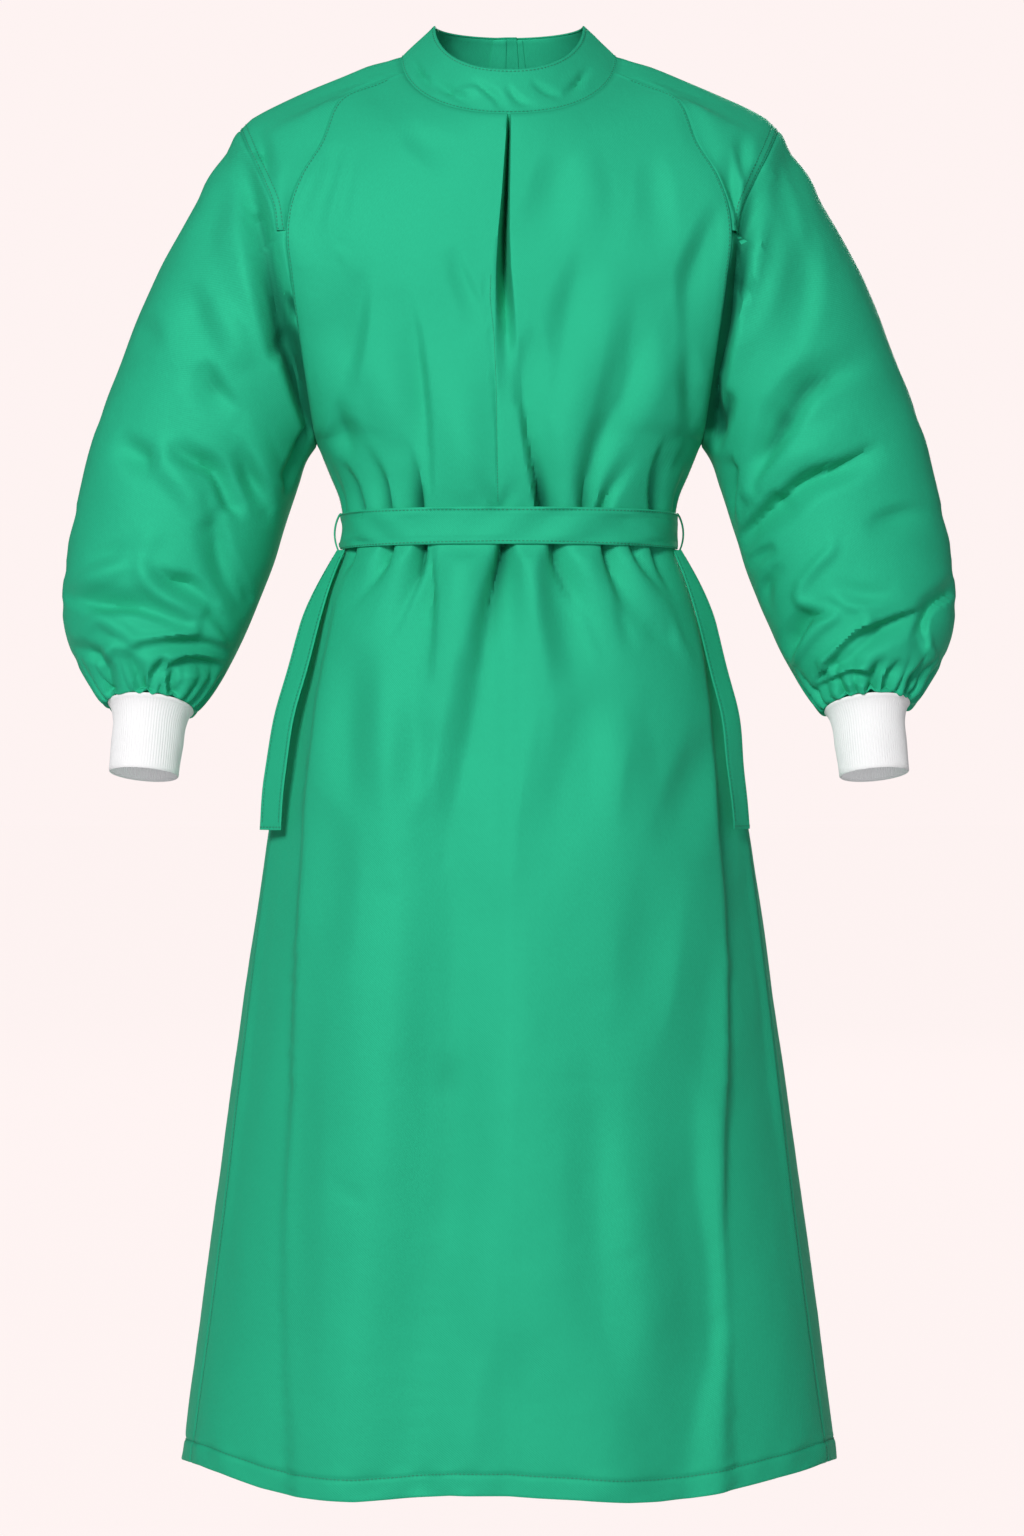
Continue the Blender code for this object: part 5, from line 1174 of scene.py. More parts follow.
class Value:
    """A shader socket that takes part in ordinary arithmetic."""

    def __init__(self, shader, socket):
        self.shader, self.socket = shader, socket

    def __add__(self, other):
        return self.shader.maths("ADD", self, other)

    def __radd__(self, other):
        return self.shader.maths("ADD", other, self)

    def __sub__(self, other):
        return self.shader.maths("SUBTRACT", self, other)

    def __rsub__(self, other):
        return self.shader.maths("SUBTRACT", other, self)

    def __mul__(self, other):
        return self.shader.maths("MULTIPLY", self, other)

    def __rmul__(self, other):
        return self.shader.maths("MULTIPLY", other, self)

    def sine(self):
        return self.shader.maths("SINE", self)

    def __getitem__(self, axis):
        return self.shader.part(self, axis)


class Shader:
    """The node tree of one material."""

    def __init__(self, name):
        self.material = bpy.data.materials.new(name)
        self.material.use_nodes = True
        self.tree = self.material.node_tree
        self.surface = self.tree.nodes["Principled BSDF"]

    def node(self, kind, settings=None, inputs=None):
        """One node, with its settings and inputs, which may be values of other nodes."""
        made = self.tree.nodes.new(kind)
        for key, value in (settings or {}).items():
            setattr(made, key, value)
        self.fill(made, inputs or {})
        return made

    def fill(self, node, inputs):
        """Sets a node's sockets to values, or links them to other nodes' values."""
        for key, value in inputs.items():
            if isinstance(value, Value):
                self.tree.links.new(value.socket, node.inputs[key])
            else:
                node.inputs[key].default_value = value

    def maths(self, operation, *inputs):
        made = self.node("ShaderNodeMath", {"operation": operation}, dict(enumerate(inputs)))
        return Value(self, made.outputs[0])

    def part(self, vector, axis):
        made = self.node("ShaderNodeSeparateXYZ", inputs={0: vector})
        return Value(self, made.outputs[axis])

    def coordinates(self, which):
        return Value(self, self.node("ShaderNodeTexCoord").outputs[which])

    def scaled(self, vector, x, y, z):
        made = self.node("ShaderNodeVectorMath", {"operation": "MULTIPLY"},
                         {0: vector, 1: (x, y, z)})
        return Value(self, made.outputs[0])

    def noise(self, vector, scale, detail=3.0, rough=0.5):
        made = self.node("ShaderNodeTexNoise", inputs={"Vector": vector, "Scale": scale,
                                                       "Detail": detail, "Roughness": rough})
        return Value(self, made.outputs["Fac"])

    def mix(self, share, first, second):
        made = self.node("ShaderNodeMix", {"data_type": "RGBA"}, {0: share, 6: first, 7: second})
        return Value(self, made.outputs[2])

    def bump(self, height, strength, distance):
        made = self.node("ShaderNodeBump", inputs={"Height": height, "Strength": strength,
                                                   "Distance": distance})
        return Value(self, made.outputs[0])

    def set(self, **inputs):
        """Sets or links the surface's sockets, named with _ for a space."""
        self.fill(self.surface, {key.replace("_", " "): value for key, value in inputs.items()})


def colour(values, shade=1.0):
    """A colour with its alpha, made lighter or darker."""
    return tuple(v * shade for v in values[:3]) + (1.0,)


def green_cloth(settings):
    """Fine twill with a soft sheen: diagonal ribs, fibres, a faint, uneven wash, and shade painted into the
    colour in deep folds and along seams.
    """
    made = Shader("green_twill")
    uv = made.coordinates("UV")
    place = made.coordinates("Object")
    ribs = ((uv[0] + uv[1]) * (2 * math.pi / settings.twill_pitch)).sine()
    threads = ((uv[0] - uv[1] * 0.35) * (2 * math.pi / (settings.twill_pitch * 0.62))).sine()
    weave = ribs * 0.6 + threads * 0.25
    fibres = made.noise(made.scaled(uv, 2200.0, 700.0, 1.0), 1.0, 2.0)
    wash = made.noise(place, 9.0, 3.0, 0.55)
    crumple = made.noise(made.scaled(place, 1.0, 1.0, 0.7), 55.0, 3.0, 0.6)
    base = settings.green
    tone = made.mix(wash, colour(base, 0.94), colour(base, 1.06))
    slubs = made.noise(made.scaled(uv, 900.0, 240.0, 1.0), 1.0, 2.0)
    # The painted shade attribute darkens the base colour in deep folds and along seams, as far as the painted
    # shade strength sets.
    stored = made.node("ShaderNodeAttribute", {"attribute_name": "painted_shade"})
    painted_shade = Value(made, stored.outputs["Fac"])
    texture_and_painted_shade = (weave * 0.07 + fibres * 0.20 + slubs * 0.16 + 0.80) * (1.0 - painted_shade * settings.painted_shade_strength)
    shaded = made.node("ShaderNodeVectorMath", {"operation": "SCALE"}, {0: tone, "Scale": texture_and_painted_shade})
    made.set(Base_Color=Value(made, shaded.outputs[0]),
             Roughness=0.54 + wash * 0.08, Metallic=0.12,
             Normal=made.bump(weave * 0.10 + fibres * 0.16 + crumple * 1.0, 0.5, 0.0012),
             IOR=1.22, Specular_Tint=GREEN_GLOSS, Sheen_Weight=0.05,
             Sheen_Roughness=0.45, Sheen_Tint=GREEN_GLOSS)
    return made.material


def white_knit(settings):
    """Fine rib knit: small stitches between the modelled ribs, and a faint white glow that is painted light.
    """
    made = Shader("white_rib_knit")
    uv = made.coordinates("UV")
    place = made.coordinates("Object")
    loops = ((uv[1] * (2 * math.pi / KNIT_COURSE)).sine()
             * (uv[0] * (2 * math.pi / KNIT_WALE)).sine())
    fuzz = made.noise(place, 1400.0, 3.0, 0.6)
    base = settings.white
    tone = made.mix(fuzz, colour(base, 0.95), colour(base, 1.03))
    # The faint white emission is painted light: the knit glows a little, lightening its shaded inside.
    made.set(Base_Color=tone, Roughness=0.82 + fuzz * 0.1,
             Normal=made.bump(loops * 0.5 + fuzz * 0.6, 0.4, 0.0003),
             Specular_IOR_Level=0.2, Sheen_Weight=0.12, Sheen_Roughness=0.5,
             Emission_Color=(1.0, 0.99, 1.0, 1.0), Emission_Strength=0.16)
    return made.material


def thread(settings):
    """Sewing thread, a little darker than the cloth."""
    made = Shader("green_thread")
    twist = made.noise(made.coordinates("Object"), 1800.0, 2.0)
    base = settings.thread
    made.set(Base_Color=made.mix(twist, colour(base, 0.85), colour(base, 1.15)),
             Roughness=0.55 + twist * 0.1, Specular_IOR_Level=0.3)
    return made.material


def pale_paper(settings):
    """The pale floor, lit evenly."""
    made = Shader("pale_floor")
    grain = made.noise(made.coordinates("Object"), 40.0, 2.0)
    floor = settings.floor
    made.set(Base_Color=made.mix(grain, colour(floor, 0.99), colour(floor, 1.0)),
             Roughness=0.95, Specular_IOR_Level=0.0,
             Emission_Color=colour(settings.backdrop), Emission_Strength=settings.floor_glow)
    return made.material


# ---------------------------------------------------------------- objects


MADE = {}


def shared(kind):
    """A material or the forms, made once in a run."""
    scene = bpy.context.scene
    if kind not in MADE:
        if kind == "forms":
            MADE[kind] = make_forms(scene.gown_cloth)
        else:
            maker = {"green": green_cloth, "white": white_knit, "thread": thread}[kind]
            MADE[kind] = maker(scene.gown_looks)
    return MADE[kind]


def grid_uv(grid, closed):
    """Cloth coordinates in metres: the run along each row, and down the middle column."""
    wrapped = np.concatenate([grid, grid[:, :1]], 1) if closed else grid
    across = np.linalg.norm(np.diff(wrapped, axis=1), axis=-1).mean(0)
    u = np.r_[0.0, np.cumsum(across)]
    u = u - u.mean()
    down = np.linalg.norm(np.diff(grid, axis=0), axis=-1).mean(1)
    v = -np.r_[0.0, np.cumsum(down)]
    return np.stack(np.meshgrid(u, v), -1) * MM


def add_mesh(name, points, faces, uvs, material, sharp=40.0):
    """A smooth mesh object of quads, with cloth coordinates for each corner."""
    mesh = bpy.data.meshes.new(name)
    mesh.from_pydata((points * MM).tolist(), [], faces.tolist())
    layer = mesh.uv_layers.new(name="cloth")
    layer.data.foreach_set("uv", uvs[np.arange(len(faces))].reshape(-1).astype(np.float32))
    mesh.validate()
    mesh.shade_smooth()
    if sharp:
        mesh.set_sharp_from_angle(angle=math.radians(sharp))
    made = bpy.data.objects.new(name, mesh)
    made.data.materials.append(material)
    bpy.context.scene.collection.objects.link(made)
    return made


def grid_faces(rows, columns, closed, offset=0, flip=False):
    """Quads over a grid, and the grid places of their corners, the last column open for cloth
    coordinates even where the piece is a tube."""
    last = columns if closed else columns - 1
    r, c = np.meshgrid(np.arange(rows - 1), np.arange(last), indexing="ij")
    r, c = r.ravel(), c.ravel()
    corner_rows = np.stack([r, r + 1, r + 1, r], -1)
    corner_columns = np.stack([c, c, c + 1, c + 1], -1)
    faces = corner_rows * columns + corner_columns % columns + offset
    found = (faces, corner_rows, corner_columns)
    return tuple(item[:, ::-1] for item in found) if flip else found


def add_shell(sheet, name, wall, material, sharp=50.0):
    """A thin shell from a sheet's outer points and its wall."""
    outer = sheet.grid
    rows, columns = outer.shape[:2]
    inner = outer - sheet.normals() * wall
    count = rows * columns
    uv = grid_uv(outer, sheet.closed)
    turned = sheet.sign > 0
    front, fr, fc = grid_faces(rows, columns, sheet.closed, 0, flip=not turned)
    behind, br, bc = grid_faces(rows, columns, sheet.closed, count, flip=turned)
    faces, uvs = [front, behind], [uv[fr, fc], uv[br, bc]]
    if sheet.closed:
        c = np.arange(columns)
        for row in (0, rows - 1):
            a, b = row * columns + c, row * columns + (c + 1) % columns
            quad = np.stack([a, b, b + count, a + count], -1)
            if (row == 0) != turned:
                quad = quad[:, ::-1]
            faces.append(quad)
            uvs.append(np.repeat(uv[row, :-1][:, None], 4, 1))
    else:
        border = np.array(sheet.border())
        index = border[:, 0] * columns + border[:, 1]
        after = np.roll(index, -1)
        quad = np.stack([index, after, after + count, index + count], -1)
        if not turned:
            quad = quad[:, ::-1]
        faces.append(quad)
        uvs.append(np.repeat(uv[border[:, 0], border[:, 1]][:, None], 4, 1))
    points = np.concatenate([outer.reshape(-1, 3), inner.reshape(-1, 3)])
    made = add_mesh(name, points, np.concatenate(faces), np.concatenate(uvs), material, sharp)
    # The painted shade is stored on the outer face's points for the cloth's colour; the inner face gets none.
    painted_shade_values = np.clip(np.r_[sheet.painted_shade.ravel(), np.zeros(count)], 0.0, 1.0)
    stored = made.data.attributes.new("painted_shade", "FLOAT", "POINT")
    stored.data.foreach_set("value", painted_shade_values.astype(np.float32))
    return made


def dress(sheet, node, wall, flat, held="hung", area=None):
    """One sewn piece in place of its plain node. Its cut size in metres is not used."""
    made = add_shell(sheet, node + "_cloth", wall, shared("green"))
    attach(made, "root")
    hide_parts(node)


def stitched(lines, name, pitch=3.4, length=2.4, width=0.75, height=0.42):
    """Rows of stitches as one mesh. A line is its points and the directions out of the cloth."""
    blocks, faces, base = [], [], 0
    for path, out in lines:
        run = lengths(path)
        count = int(run[-1] / pitch)
        if count < 1:
            continue
        at = (np.arange(count) + 0.5) * run[-1] / count
        centre, ahead, behind = (between(path, run, at + way) for way in (0.0, 0.5, -0.5))
        normal = unit(between(out, run, at))
        along = unit(ahead - behind)
        across = unit(np.cross(along, normal))
        block = []
        for s in (-0.5, -0.3, 0.0, 0.3, 0.5):
            lift = height * (1 - (abs(s) / 0.5)**3)
            for w in (-0.5, 0.5):
                taper = 1 - 0.5 * abs(2 * s)**4
                block.append(centre + along * s * length + across * w * width * taper
                             + normal * (lift - 0.05))
        blocks.append(np.stack(block, 1).reshape(-1, 3))
        first = base + np.arange(count) * len(block)
        for a in (first, first + 2, first + 4, first + 6):
            faces.append(np.stack([a, a + 1, a + 3, a + 2], -1))
        base += count * len(block)
    faces = np.concatenate(faces)
    made = add_mesh(name, np.concatenate(blocks), faces, np.zeros((len(faces), 4, 2)),
                    shared("thread"), sharp=0)
    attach(made, "root")


def along_column(sheet, column, rows):
    """A line down a sheet's column with its directions, for stitching."""
    normals = sheet.normals()[rows, column]
    return sheet.grid[rows, column] + normals * STITCH_LIFT, normals


def in_from(sheet, distance, side):
    """A line at an even distance in from a sheet's first or last row."""
    _, _, top, bottom = sheet.from_edges()
    way = slice(None) if side == "first" else slice(None, None, -1)
    away = (top if side == "first" else bottom)[way]
    grid, normals = sheet.grid[way], sheet.normals()[way]
    columns = range(grid.shape[1])
    points = np.array([between(grid[:, c], away[:, c], distance) for c in columns])
    outs = unit(np.array([between(normals[:, c], away[:, c], distance) for c in columns]))
    if sheet.closed:
        points, outs = np.concatenate([points, points[:1]]), np.concatenate([outs, outs[:1]])
    return points + outs * STITCH_LIFT, outs


def in_from_opening(back):
    """The line of stitches along the opening of half the back."""
    opening, normals = back.from_edges()[0], back.normals()
    points, outs = (np.array([between(row, run, OPENING_STITCHING) for run, row in zip(opening, rows)])
                    for rows in (back.grid, normals))
    outs = unit(outs)
    return points + outs * STITCH_LIFT, outs


# ---------------------------------------------------------------- pieces


def make_large(names, **cut):
    """Pieces that share the forms' layout, with the cloth's own thickness."""
    wall = bpy.context.scene.gown_cloth.wall / MM
    for name in names:
        dress(shared("forms")[name], name, wall, **cut)


def make_front():
    """The front, cut in one piece with its pleat."""
    make_large(["front"], flat=(0.84, 1.20), area=0.60)


def make_backs():
    """The two halves of the back."""
    make_large(["back_left", "back_right"], flat=(0.46, 1.24), area=0.375)


def make_yokes():
    """The two shoulder yokes."""
    make_large(["yoke_left", "yoke_right"], flat=(0.10, 0.40), area=0.0250)


def make_sleeves():
    """The two full sleeves, gathered into the cuffs."""
    make_large(["sleeve_left", "sleeve_right"], flat=(0.56, 0.50), held="gathered", area=0.22)


def make_collar():
    """The stand collar, and the two tabs that close it inside at the back."""
    sheet = shared("forms")["collar"]
    dress(sheet, "collar", 1.5, flat=(0.53, 0.056), area=0.022)
    inside = sheet.grid - sheet.normals() * 2.2
    for name, columns in (("neck_tab_left", slice(-1, -16, -1)), ("neck_tab_right", slice(6, 22))):
        rows = inside[2:-2, columns]
        fractions = even(8) * NECK_TAB_WIDTH / lengths(rows[3])[-1]
        tab = Sheet(name, np.array([spread(row, fractions) for row in rows]), outward=(0, -1, 0))
        start, end, low, high = tab.from_edges()
        edge = np.minimum(np.minimum(start, end), np.minimum(low, high))
        tab.push(0.7 + sunk(edge, 0.4, 1.2) + groove(edge, TAB_STITCHING, 0.15, 0.7))
        dress(tab, name, 1.0, flat=(0.016, 0.044))


def make_cuffs():
    """The two rib-knitted cuffs, with their ribs raised and their ends rolled."""
    settings = bpy.context.scene.gown_cloth
    top, end = np.array(CUFF_TOP), np.array(CUFF_END)
    axis = unit(end - top)
    length = np.linalg.norm(end - top)
    columns = settings.ribs * 4
    along = np.r_[CUFF["along"][:4], np.linspace(4.4, 57.0, 20), CUFF["along"][-3:]]
    radius = smooth_through(CUFF["radius"], CUFF["along"], along)
    rib = np.interp(along, CUFF["along"], CUFF["rib"])
    t = 2 * math.pi * np.arange(columns) / columns
    outward = np.array([1.0, 0.0, 0.075])
    for name, side in (("cuff_left", 1), ("cuff_right", -1)):
        rings = []
        for a, r, height in zip(along, radius, rib):
            share = a / length
            tip = math.radians(CUFF_TOP_TIP + (CUFF_END_TIP - CUFF_TOP_TIP) * share)
            forward = np.array([0.0, -math.cos(tip), math.sin(tip)])
            wave = 0.26 * height * np.cos(settings.ribs * t)
            soft = 0.35 * np.sin(2 * t + a / 17.0) + 0.25 * np.sin(3 * t - a / 11.0)
            reach = r + wave + soft
            rings.append(top + axis * a + np.outer(np.cos(t) * reach, outward)
                         + np.outer(np.sin(t) * reach, forward))
        grid = np.array(rings)
        sheet = Sheet(name, mirrored(grid) if side < 0 else grid, closed=True)
        piece = add_shell(sheet, name + "_knit", CUFF_WALL * 0.75, shared("white"), sharp=70.0)
        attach(piece, "root")
        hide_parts(name)


def belt_sheet():
    """The belt's outer face, lifted off the front."""
    plain = front_grid()
    levels = plain[:, plain.shape[1] // 2, 2]
    rows = []
    for share in np.r_[0.0, 0.03, 0.07, even(12)[1:-1], 0.93, 0.97, 1.0]:
        level = BELT_TOP + (BELT_BOTTOM - BELT_TOP) * share
        k = int(np.searchsorted(-levels, -level)) - 1
        f = (levels[k] - level) / (levels[k] - levels[k + 1])
        row = plain[k] * (1 - f) + plain[k + 1] * f
        keep = row[np.abs(row[:, 0]) < BELT_HALF_WIDTH]
        rows.append(spread(keep, even(150)))
    sheet = Sheet("belt", np.array(rows), outward=(0, -1, 0))
    start, end, low, high = sheet.from_edges()
    edge = np.minimum(low, high)
    run = start - start[:, -1:] / 2
    creases = 1.5 * np.sin(run / 13.0 + low / 9.0 + 1.5 * np.sin(run / 47.0))
    creases *= np.sin(run / 71.0 + 0.6)
    creases += 0.8 * np.sin(run / 7.0 - low / 6.0) * np.exp(-((abs(run) - 120.0) / 34.0)**2)
    out = 3.0 + creases * step(edge, 0.5, 7.0) + 0.25 * np.sin(run / 29.0)
    out += groove(edge, BELT_STITCHING, 0.45, 0.9) + sunk(edge, 0.8, 1.2)
    out += sunk(np.minimum(start, end), 0.8, 1.4)
    sheet.push(out)
    return sheet


def make_belt():
    """The belt across the front, and the two loops at its ends."""
    MADE["belt"] = belt_sheet()
    dress(MADE["belt"], "belt", 1.6, flat=(0.362, 0.034), area=0.0123)
    crown = 0.35 * (1 - np.abs(np.linspace(-1, 1, LOOP_COLUMNS))**3)
    depth = np.linspace(0.6, 0.6 + LOOP_WIDTH, LOOP_COLUMNS)
    for name, side in (("belt_loop_left", 1), ("belt_loop_right", -1)):
        rows = []
        for share in even(24):
            level = BELT_TOP + 2.0 + (BELT_BOTTOM - BELT_TOP - 4.0) * share
            stand = 1.2 + LOOP_STAND * math.sin(math.pi * share)**0.7
            rows.append(np.stack([LOOP_FOOT + stand + crown, depth, np.full(LOOP_COLUMNS, level)], -1))
        grid = np.array(rows)
        strip = Sheet(name, mirrored(grid) if side < 0 else grid, outward=(side, 0, 0))
        dress(strip, name, 1.1, flat=(0.0104, 0.040))


def tie_sheet(name):
    """A waist tie's outer face: a flat strip that hangs free from the belt's end."""
    line = TIES[name]
    at = np.linspace(line["z"][0], line["z"][-1], 81)
    path = np.stack([smooth_through(line[key], -line["z"], -at) for key in ("x", "y")], -1)
    turn = np.radians(smooth_through(line["turn"], -line["z"], -at))
    across = np.r_[-0.5, -0.47, -0.44, np.linspace(-0.38, 0.38, 9), 0.44, 0.47, 0.5]
    rows = []
    wide = TIE_WIDTH * (0.4 + 0.6 * step(at[0] - at, -20.0, 64.0))
    lean = np.sign(line["x"][0]) * (wide - TIE_WIDTH) * 0.35
    for (x, y), z, angle, width, shift in zip(path, at, turn, wide, lean):
        way = np.array([math.cos(angle), -math.sin(angle), 0.0])
        rows.append(np.array([x + shift, y, z]) + np.outer(across * width, way))
    sheet = Sheet(name, np.array(rows), outward=(0, -1, 0))
    start, end, low, high = sheet.from_edges()
    edge = np.minimum(np.minimum(start, end), high)
    out = 1.5 + 0.5 * np.sin(low / 23.0 + 1.0) * np.sin(start / 9.0) + 0.35 * np.sin(low / 11.0)
    out += groove(edge, TIE_STITCHING, 0.4, 0.8) + sunk(edge, 0.6, 1.0)
    sheet.push(out)
    return sheet


def make_ties():
    """The two waist ties."""
    for name in TIES:
        MADE[name] = tie_sheet(name)
        dress(MADE[name], name, 1.3, flat=(TIE_WIDTH * MM, 0.25), area=0.0058)


def centre_front_seam(front):
    """The short seam that closes the pleat's lower end, followed down the front."""
    places, _ = in_photo(front.grid)
    middle = front.grid.shape[1] // 2
    near = slice(middle - 24, middle + 8)
    seam = []
    for row in range(front.grid.shape[0]):
        across, down = places[row, near, 0], places[row, middle, 1]
        if 278 < down < 505:
            target = np.interp(down, CENTRE_SEAM["down"], CENTRE_SEAM["across"])
            seam.append(between(front.grid[row, near], across, target))
    out = np.repeat([[0.0, -1.0, 0.0]], len(seam), 0)
    return np.array(seam) + out * STITCH_LIFT, out


def make_stitches():
    """The topstitching of every seam and edge that shows."""
    forms = shared("forms")
    front, collar = forms["front"], forms["collar"]
    seam_rows = ROWS_UPPER + ROWS_LOWER
    lines = [in_from(front, HEM_DEPTH, "last"), in_from(collar, COLLAR_STITCHING, "first"),
             in_from(collar, COLLAR_STITCHING, "last")]
    for column in (3, -4):
        lines.append(along_column(front, column, slice(4, seam_rows)))
        lines.append(along_column(front, column, slice(seam_rows + 2, -1)))
    for name in ("back_left", "back_right"):
        lines.append(in_from(forms[name], HEM_DEPTH, "last"))
        lines.append(along_column(forms[name], -4, slice(4, seam_rows)))
        lines.append(in_from_opening(forms[name]))
    for name in ("yoke_left", "yoke_right"):
        lines += [in_from(forms[name], away, "last") for away in YOKE_STITCHING]
    belt = MADE.get("belt") or belt_sheet()
    lines += [in_from(belt, BELT_STITCHING, side) for side in ("first", "last")]
    for name in TIES:
        tie = MADE.get(name) or tie_sheet(name)
        lines += [along_column(tie, column, slice(2, -2)) for column in (3, -4)]
        lines.append(in_from(tie, TIE_STITCHING, "last"))
    stitched(lines, "topstitching")
    stitched([centre_front_seam(front)], "centre_front_stitches", pitch=2.6, length=2.0, width=0.45)


def add_set_piece(name, bm, material):
    """A piece of the stage from its finished bmesh."""
    mesh = bpy.data.meshes.new(name)
    bm.to_mesh(mesh)
    bm.free()
    mesh.materials.append(material)
    made = bpy.data.objects.new(name, mesh)
    bpy.context.scene.collection.objects.link(made)
    return made


def make_stage():
    """The floor, the lights, the world and the photograph's camera."""
    settings = bpy.context.scene.gown_looks
    scene = bpy.context.scene
    bm = bmesh.new()
    bmesh.ops.create_circle(bm, cap_ends=True, segments=96, radius=39.0)
    floor = add_set_piece("floor", bm, pale_paper(settings))
    floor.location = (0.0, 0.0, settings.floor_level)
    floor.visible_diffuse = False

    glow = Shader("backdrop_glow")
    glow.set(Base_Color=(0.0, 0.0, 0.0, 1.0), Specular_IOR_Level=0.0,
             Emission_Color=colour(settings.backdrop), Emission_Strength=settings.backdrop_light)
    bm = bmesh.new()
    bmesh.ops.create_uvsphere(bm, u_segments=48, v_segments=24, radius=40.0)
    bmesh.ops.reverse_faces(bm, faces=bm.faces)
    backdrop = add_set_piece("backdrop", bm, glow.material)
    backdrop.visible_diffuse = backdrop.visible_glossy = backdrop.visible_shadow = False

    world = bpy.data.worlds.new("soft_studio")
    world.use_nodes = True
    around = world.node_tree.nodes["Background"]
    around.inputs["Color"].default_value = (1.0, 0.98, 0.97, 1.0)
    around.inputs["Strength"].default_value = settings.room_light
    scene.world = world

    for name, place, size, power in (
            ("key_softbox", (-1.65, -4.95, 1.8), 1.6, settings.key_power),
            ("fill_softbox", (0.9, -4.4, -1.0), 2.0, settings.fill_power),
            ("back_softbox", (0.9, 5.0, 1.6), 2.4, settings.back_power)):
        light = bpy.data.lights.new(name, "AREA")
        light.energy, light.size, light.shape = power, size, "SQUARE"
        light.color = (1.0, 0.99, 0.975)
        lamp = bpy.data.objects.new(name, light)
        lamp.location = place
        lamp.visible_camera = False
        aim = np.array([0.0, 0.0, -0.5]) - np.array(place)
        lamp.rotation_euler = turned_along(aim)
        scene.collection.objects.link(lamp)

    camera = bpy.data.cameras.new("photo_camera")
    frame_height = PHOTO_HEIGHT * PHOTO_PIXEL
    camera.sensor_width = 36.0
    camera.lens = camera.sensor_width / 2 / (frame_height / 2 / CAMERA_AWAY)
    camera.shift_x = (PHOTO_WIDTH / 2 - PHOTO_MIDDLE[0]) / PHOTO_HEIGHT
    seen = bpy.data.objects.new("photo_camera", camera)
    seen.location = (0.0, -CAMERA_AWAY * MM, CAMERA_LEVEL * MM)
    seen.rotation_euler = (math.pi / 2, 0.0, 0.0)
    scene.collection.objects.link(seen)
    scene.camera = seen
    scene.view_settings.view_transform = "Standard"


def turned_along(aim):
    """The turn that points a lamp along a direction."""
    flat = math.hypot(aim[0], aim[1])
    return (math.atan2(flat, -aim[2]), 0.0, math.atan2(-aim[0], aim[1]))


# ---------------------------------------------------------------- add-on


class GownClothSettings(bpy.types.PropertyGroup):
    """Sizes of the cloth and of its folds."""

    wall: FloatProperty(name="Cloth thickness", description="Thickness of the cloth shells",
                        default=0.0009, min=0.0004, max=0.002, unit="LENGTH", precision=4)
    fold_strength: FloatProperty(name="Folds", description="Depth of all the folds, as a share",
                                 default=1.25, min=0.0, max=1.5, subtype="FACTOR")
    sleeve_strength: FloatProperty(name="Sleeve folds",
                                   description="Depth of the folds in sleeves and yokes, as a share",
                                   default=0.95, min=0.0, max=1.5, subtype="FACTOR")
    unevenness: FloatProperty(name="Unevenness", description="Height of the slight waves in the cloth",
                              default=0.0006, min=0.0, max=0.003, unit="LENGTH", precision=4)
    gathers: IntProperty(name="Gathers", description="Gathers round each cuff",
                         default=19, min=8, max=60)
    ribs: IntProperty(name="Ribs", description="Knitted ribs round each cuff",
                      default=80, min=20, max=120)


class GownLooksSettings(bpy.types.PropertyGroup):
    """Colours, weave and the studio."""

    green: FloatVectorProperty(name="Cloth", description="Colour of the cloth", subtype="COLOR",
                               default=(0.024, 0.450, 0.250), min=0.0, max=1.0)
    thread: FloatVectorProperty(name="Thread", description="Colour of the sewing thread", subtype="COLOR",
                                default=(0.014, 0.210, 0.120), min=0.0, max=1.0)
    white: FloatVectorProperty(name="Cuffs", description="Colour of the knitted cuffs", subtype="COLOR",
                               default=(0.80, 0.80, 0.82), min=0.0, max=1.0)
    # How far the painted shade darkens the cloth's colour in deep folds and along seams.
    painted_shade_strength: FloatProperty(name="Hollow shade",
                                description="How much darker shut-in folds and seams are",
                                default=0.64, min=0.0, max=1.0, subtype="FACTOR")
    twill_pitch: FloatProperty(name="Twill", description="Distance between the twill's ribs",
                               default=0.0019, min=0.0003, max=0.004, unit="LENGTH", precision=4)
    backdrop: FloatVectorProperty(name="Backdrop", description="Colour of the backdrop", subtype="COLOR",
                                  default=(1.0, 0.905, 0.895), min=0.0, max=1.0)
    backdrop_light: FloatProperty(name="Backdrop light", description="Strength of the backdrop's light",
                                  default=0.99, min=0.0, max=3.0)
    room_light: FloatProperty(name="Room light", description="Strength of the even light all round",
                              default=0.15, min=0.0, max=2.0)
    floor: FloatVectorProperty(name="Floor", description="Colour of the floor", subtype="COLOR",
                               default=(0.012, 0.011, 0.011), min=0.0, max=1.0)
    floor_glow: FloatProperty(name="Floor glow", description="Light given off by the floor",
                              default=0.985, min=0.0, max=2.0)
    floor_level: FloatProperty(name="Floor level", description="Height of the floor",
                               default=-1.30, min=-3.0, max=-1.25, unit="LENGTH")
    key_power: FloatProperty(name="Key light", description="Power of the main softbox",
                             default=266.0, min=0.0, max=900.0, unit="POWER")
    fill_power: FloatProperty(name="Fill light", description="Power of the second softbox",
                              default=42.0, min=0.0, max=500.0, unit="POWER")
    back_power: FloatProperty(name="Back light", description="Power of the softbox behind",
                              default=210.0, min=0.0, max=900.0, unit="POWER")


class GOWN_OT_front(bpy.types.Operator):
    """Build the front with its pleat and folds"""

    bl_idname = "gown.front"
    bl_label = "Front"
    bl_options = {"REGISTER", "UNDO"}

    def execute(self, context):
        make_front()
        return {"FINISHED"}


class GOWN_OT_backs(bpy.types.Operator):
    """Build the two halves of the back"""

    bl_idname = "gown.backs"
    bl_label = "Back halves"
    bl_options = {"REGISTER", "UNDO"}

    def execute(self, context):
        make_backs()
        return {"FINISHED"}


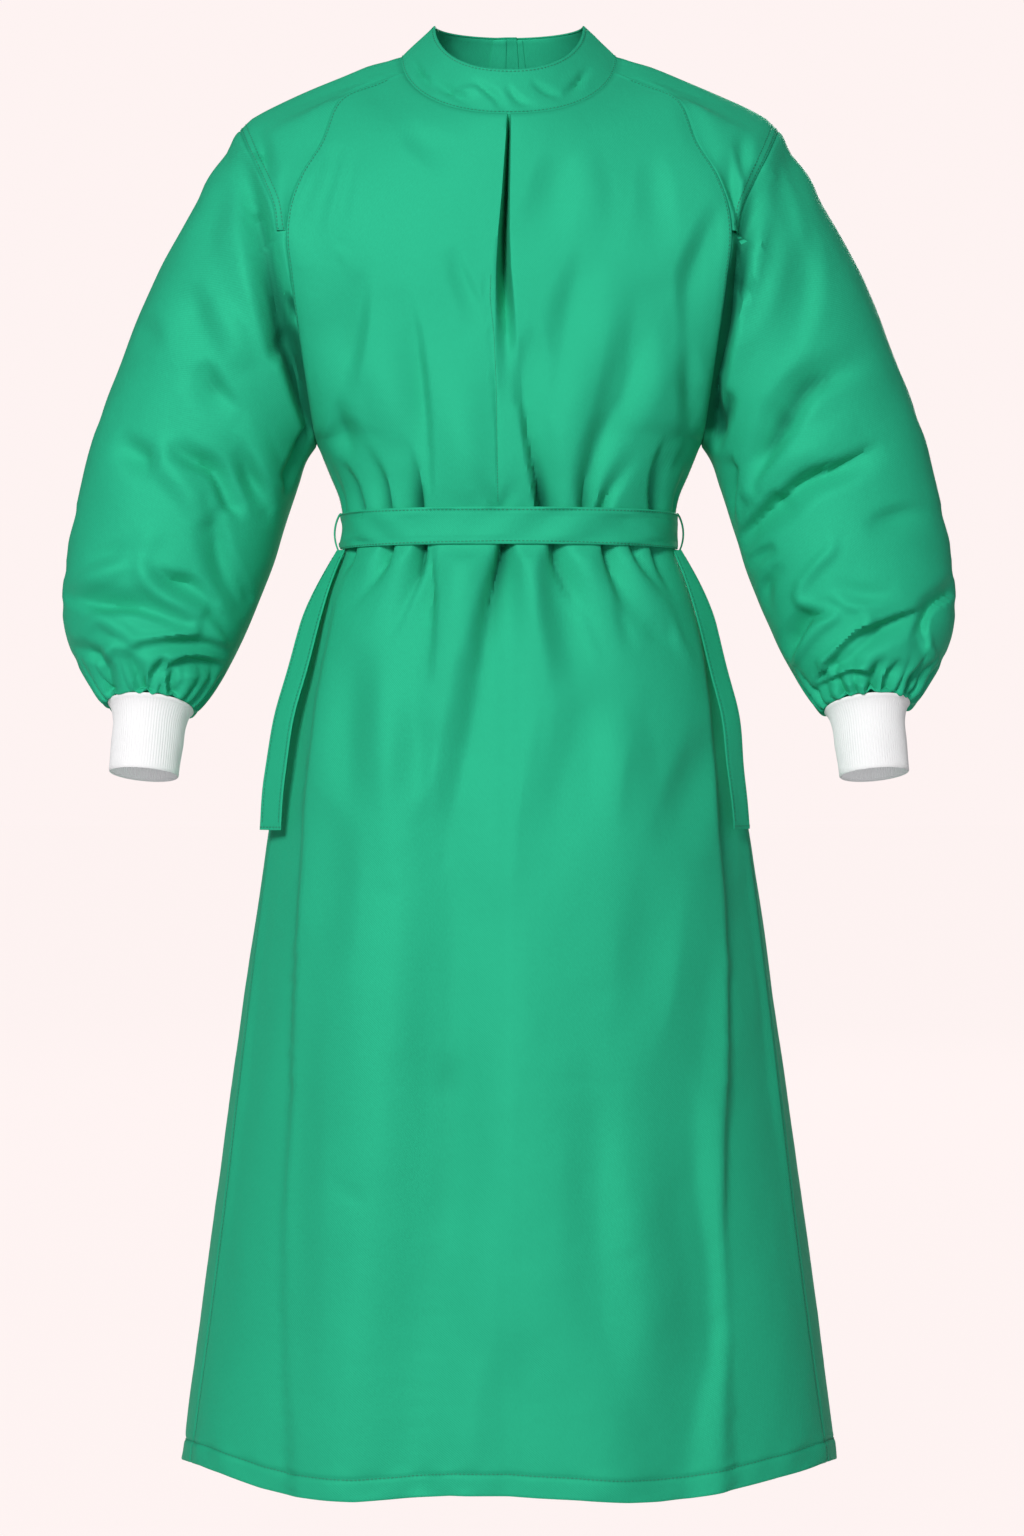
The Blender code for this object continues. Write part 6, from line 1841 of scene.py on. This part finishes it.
class GOWN_OT_yokes(bpy.types.Operator):
    """Build the two shoulder yokes"""

    bl_idname = "gown.yokes"
    bl_label = "Yokes"
    bl_options = {"REGISTER", "UNDO"}

    def execute(self, context):
        make_yokes()
        return {"FINISHED"}


class GOWN_OT_sleeves(bpy.types.Operator):
    """Build the two gathered sleeves"""

    bl_idname = "gown.sleeves"
    bl_label = "Sleeves"
    bl_options = {"REGISTER", "UNDO"}

    def execute(self, context):
        make_sleeves()
        return {"FINISHED"}


class GOWN_OT_collar(bpy.types.Operator):
    """Build the stand collar and its tabs"""

    bl_idname = "gown.collar"
    bl_label = "Collar"
    bl_options = {"REGISTER", "UNDO"}

    def execute(self, context):
        make_collar()
        return {"FINISHED"}


class GOWN_OT_cuffs(bpy.types.Operator):
    """Build the two knitted cuffs"""

    bl_idname = "gown.cuffs"
    bl_label = "Cuffs"
    bl_options = {"REGISTER", "UNDO"}

    def execute(self, context):
        make_cuffs()
        return {"FINISHED"}


class GOWN_OT_belt(bpy.types.Operator):
    """Build the belt and its loops"""

    bl_idname = "gown.belt"
    bl_label = "Belt and loops"
    bl_options = {"REGISTER", "UNDO"}

    def execute(self, context):
        make_belt()
        return {"FINISHED"}


class GOWN_OT_ties(bpy.types.Operator):
    """Build the two waist ties"""

    bl_idname = "gown.ties"
    bl_label = "Ties"
    bl_options = {"REGISTER", "UNDO"}

    def execute(self, context):
        make_ties()
        return {"FINISHED"}


class GOWN_OT_stitches(bpy.types.Operator):
    """Sew the topstitching"""

    bl_idname = "gown.stitches"
    bl_label = "Stitches"
    bl_options = {"REGISTER", "UNDO"}

    def execute(self, context):
        make_stitches()
        return {"FINISHED"}


class GOWN_OT_stage(bpy.types.Operator):
    """Set up the floor, lights and camera"""

    bl_idname = "gown.stage"
    bl_label = "Stage"
    bl_options = {"REGISTER", "UNDO"}

    def execute(self, context):
        make_stage()
        return {"FINISHED"}


STEPS = (GOWN_OT_front, GOWN_OT_backs, GOWN_OT_yokes, GOWN_OT_sleeves, GOWN_OT_collar,
         GOWN_OT_cuffs, GOWN_OT_belt, GOWN_OT_ties, GOWN_OT_stitches, GOWN_OT_stage)


class GOWN_PT_panel(bpy.types.Panel):
    """Buttons for every step, and the settings"""

    bl_idname = "GOWN_PT_panel"
    bl_label = "Surgical Gown"
    bl_space_type = "VIEW_3D"
    bl_region_type = "UI"
    bl_category = "Gown"

    def draw(self, context):
        for operator in STEPS:
            self.layout.operator(operator.bl_idname)
        for settings in (context.scene.gown_cloth, context.scene.gown_looks):
            box = self.layout.box()
            for key in settings.__annotations__:
                box.prop(settings, key)


CLASSES = (GownClothSettings, GownLooksSettings, *STEPS, GOWN_PT_panel)


def register():
    for item in CLASSES:
        bpy.utils.register_class(item)
    bpy.types.Scene.gown_cloth = PointerProperty(type=GownClothSettings)
    bpy.types.Scene.gown_looks = PointerProperty(type=GownLooksSettings)


def unregister():
    del bpy.types.Scene.gown_looks
    del bpy.types.Scene.gown_cloth
    for item in reversed(CLASSES):
        bpy.utils.unregister_class(item)


def main():
    """Dresses the plain model, one operator after another."""
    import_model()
    register()
    for operator in STEPS:
        group, name = operator.bl_idname.split(".")
        getattr(getattr(bpy.ops, group), name)()


if __name__ == "__main__":
    main()
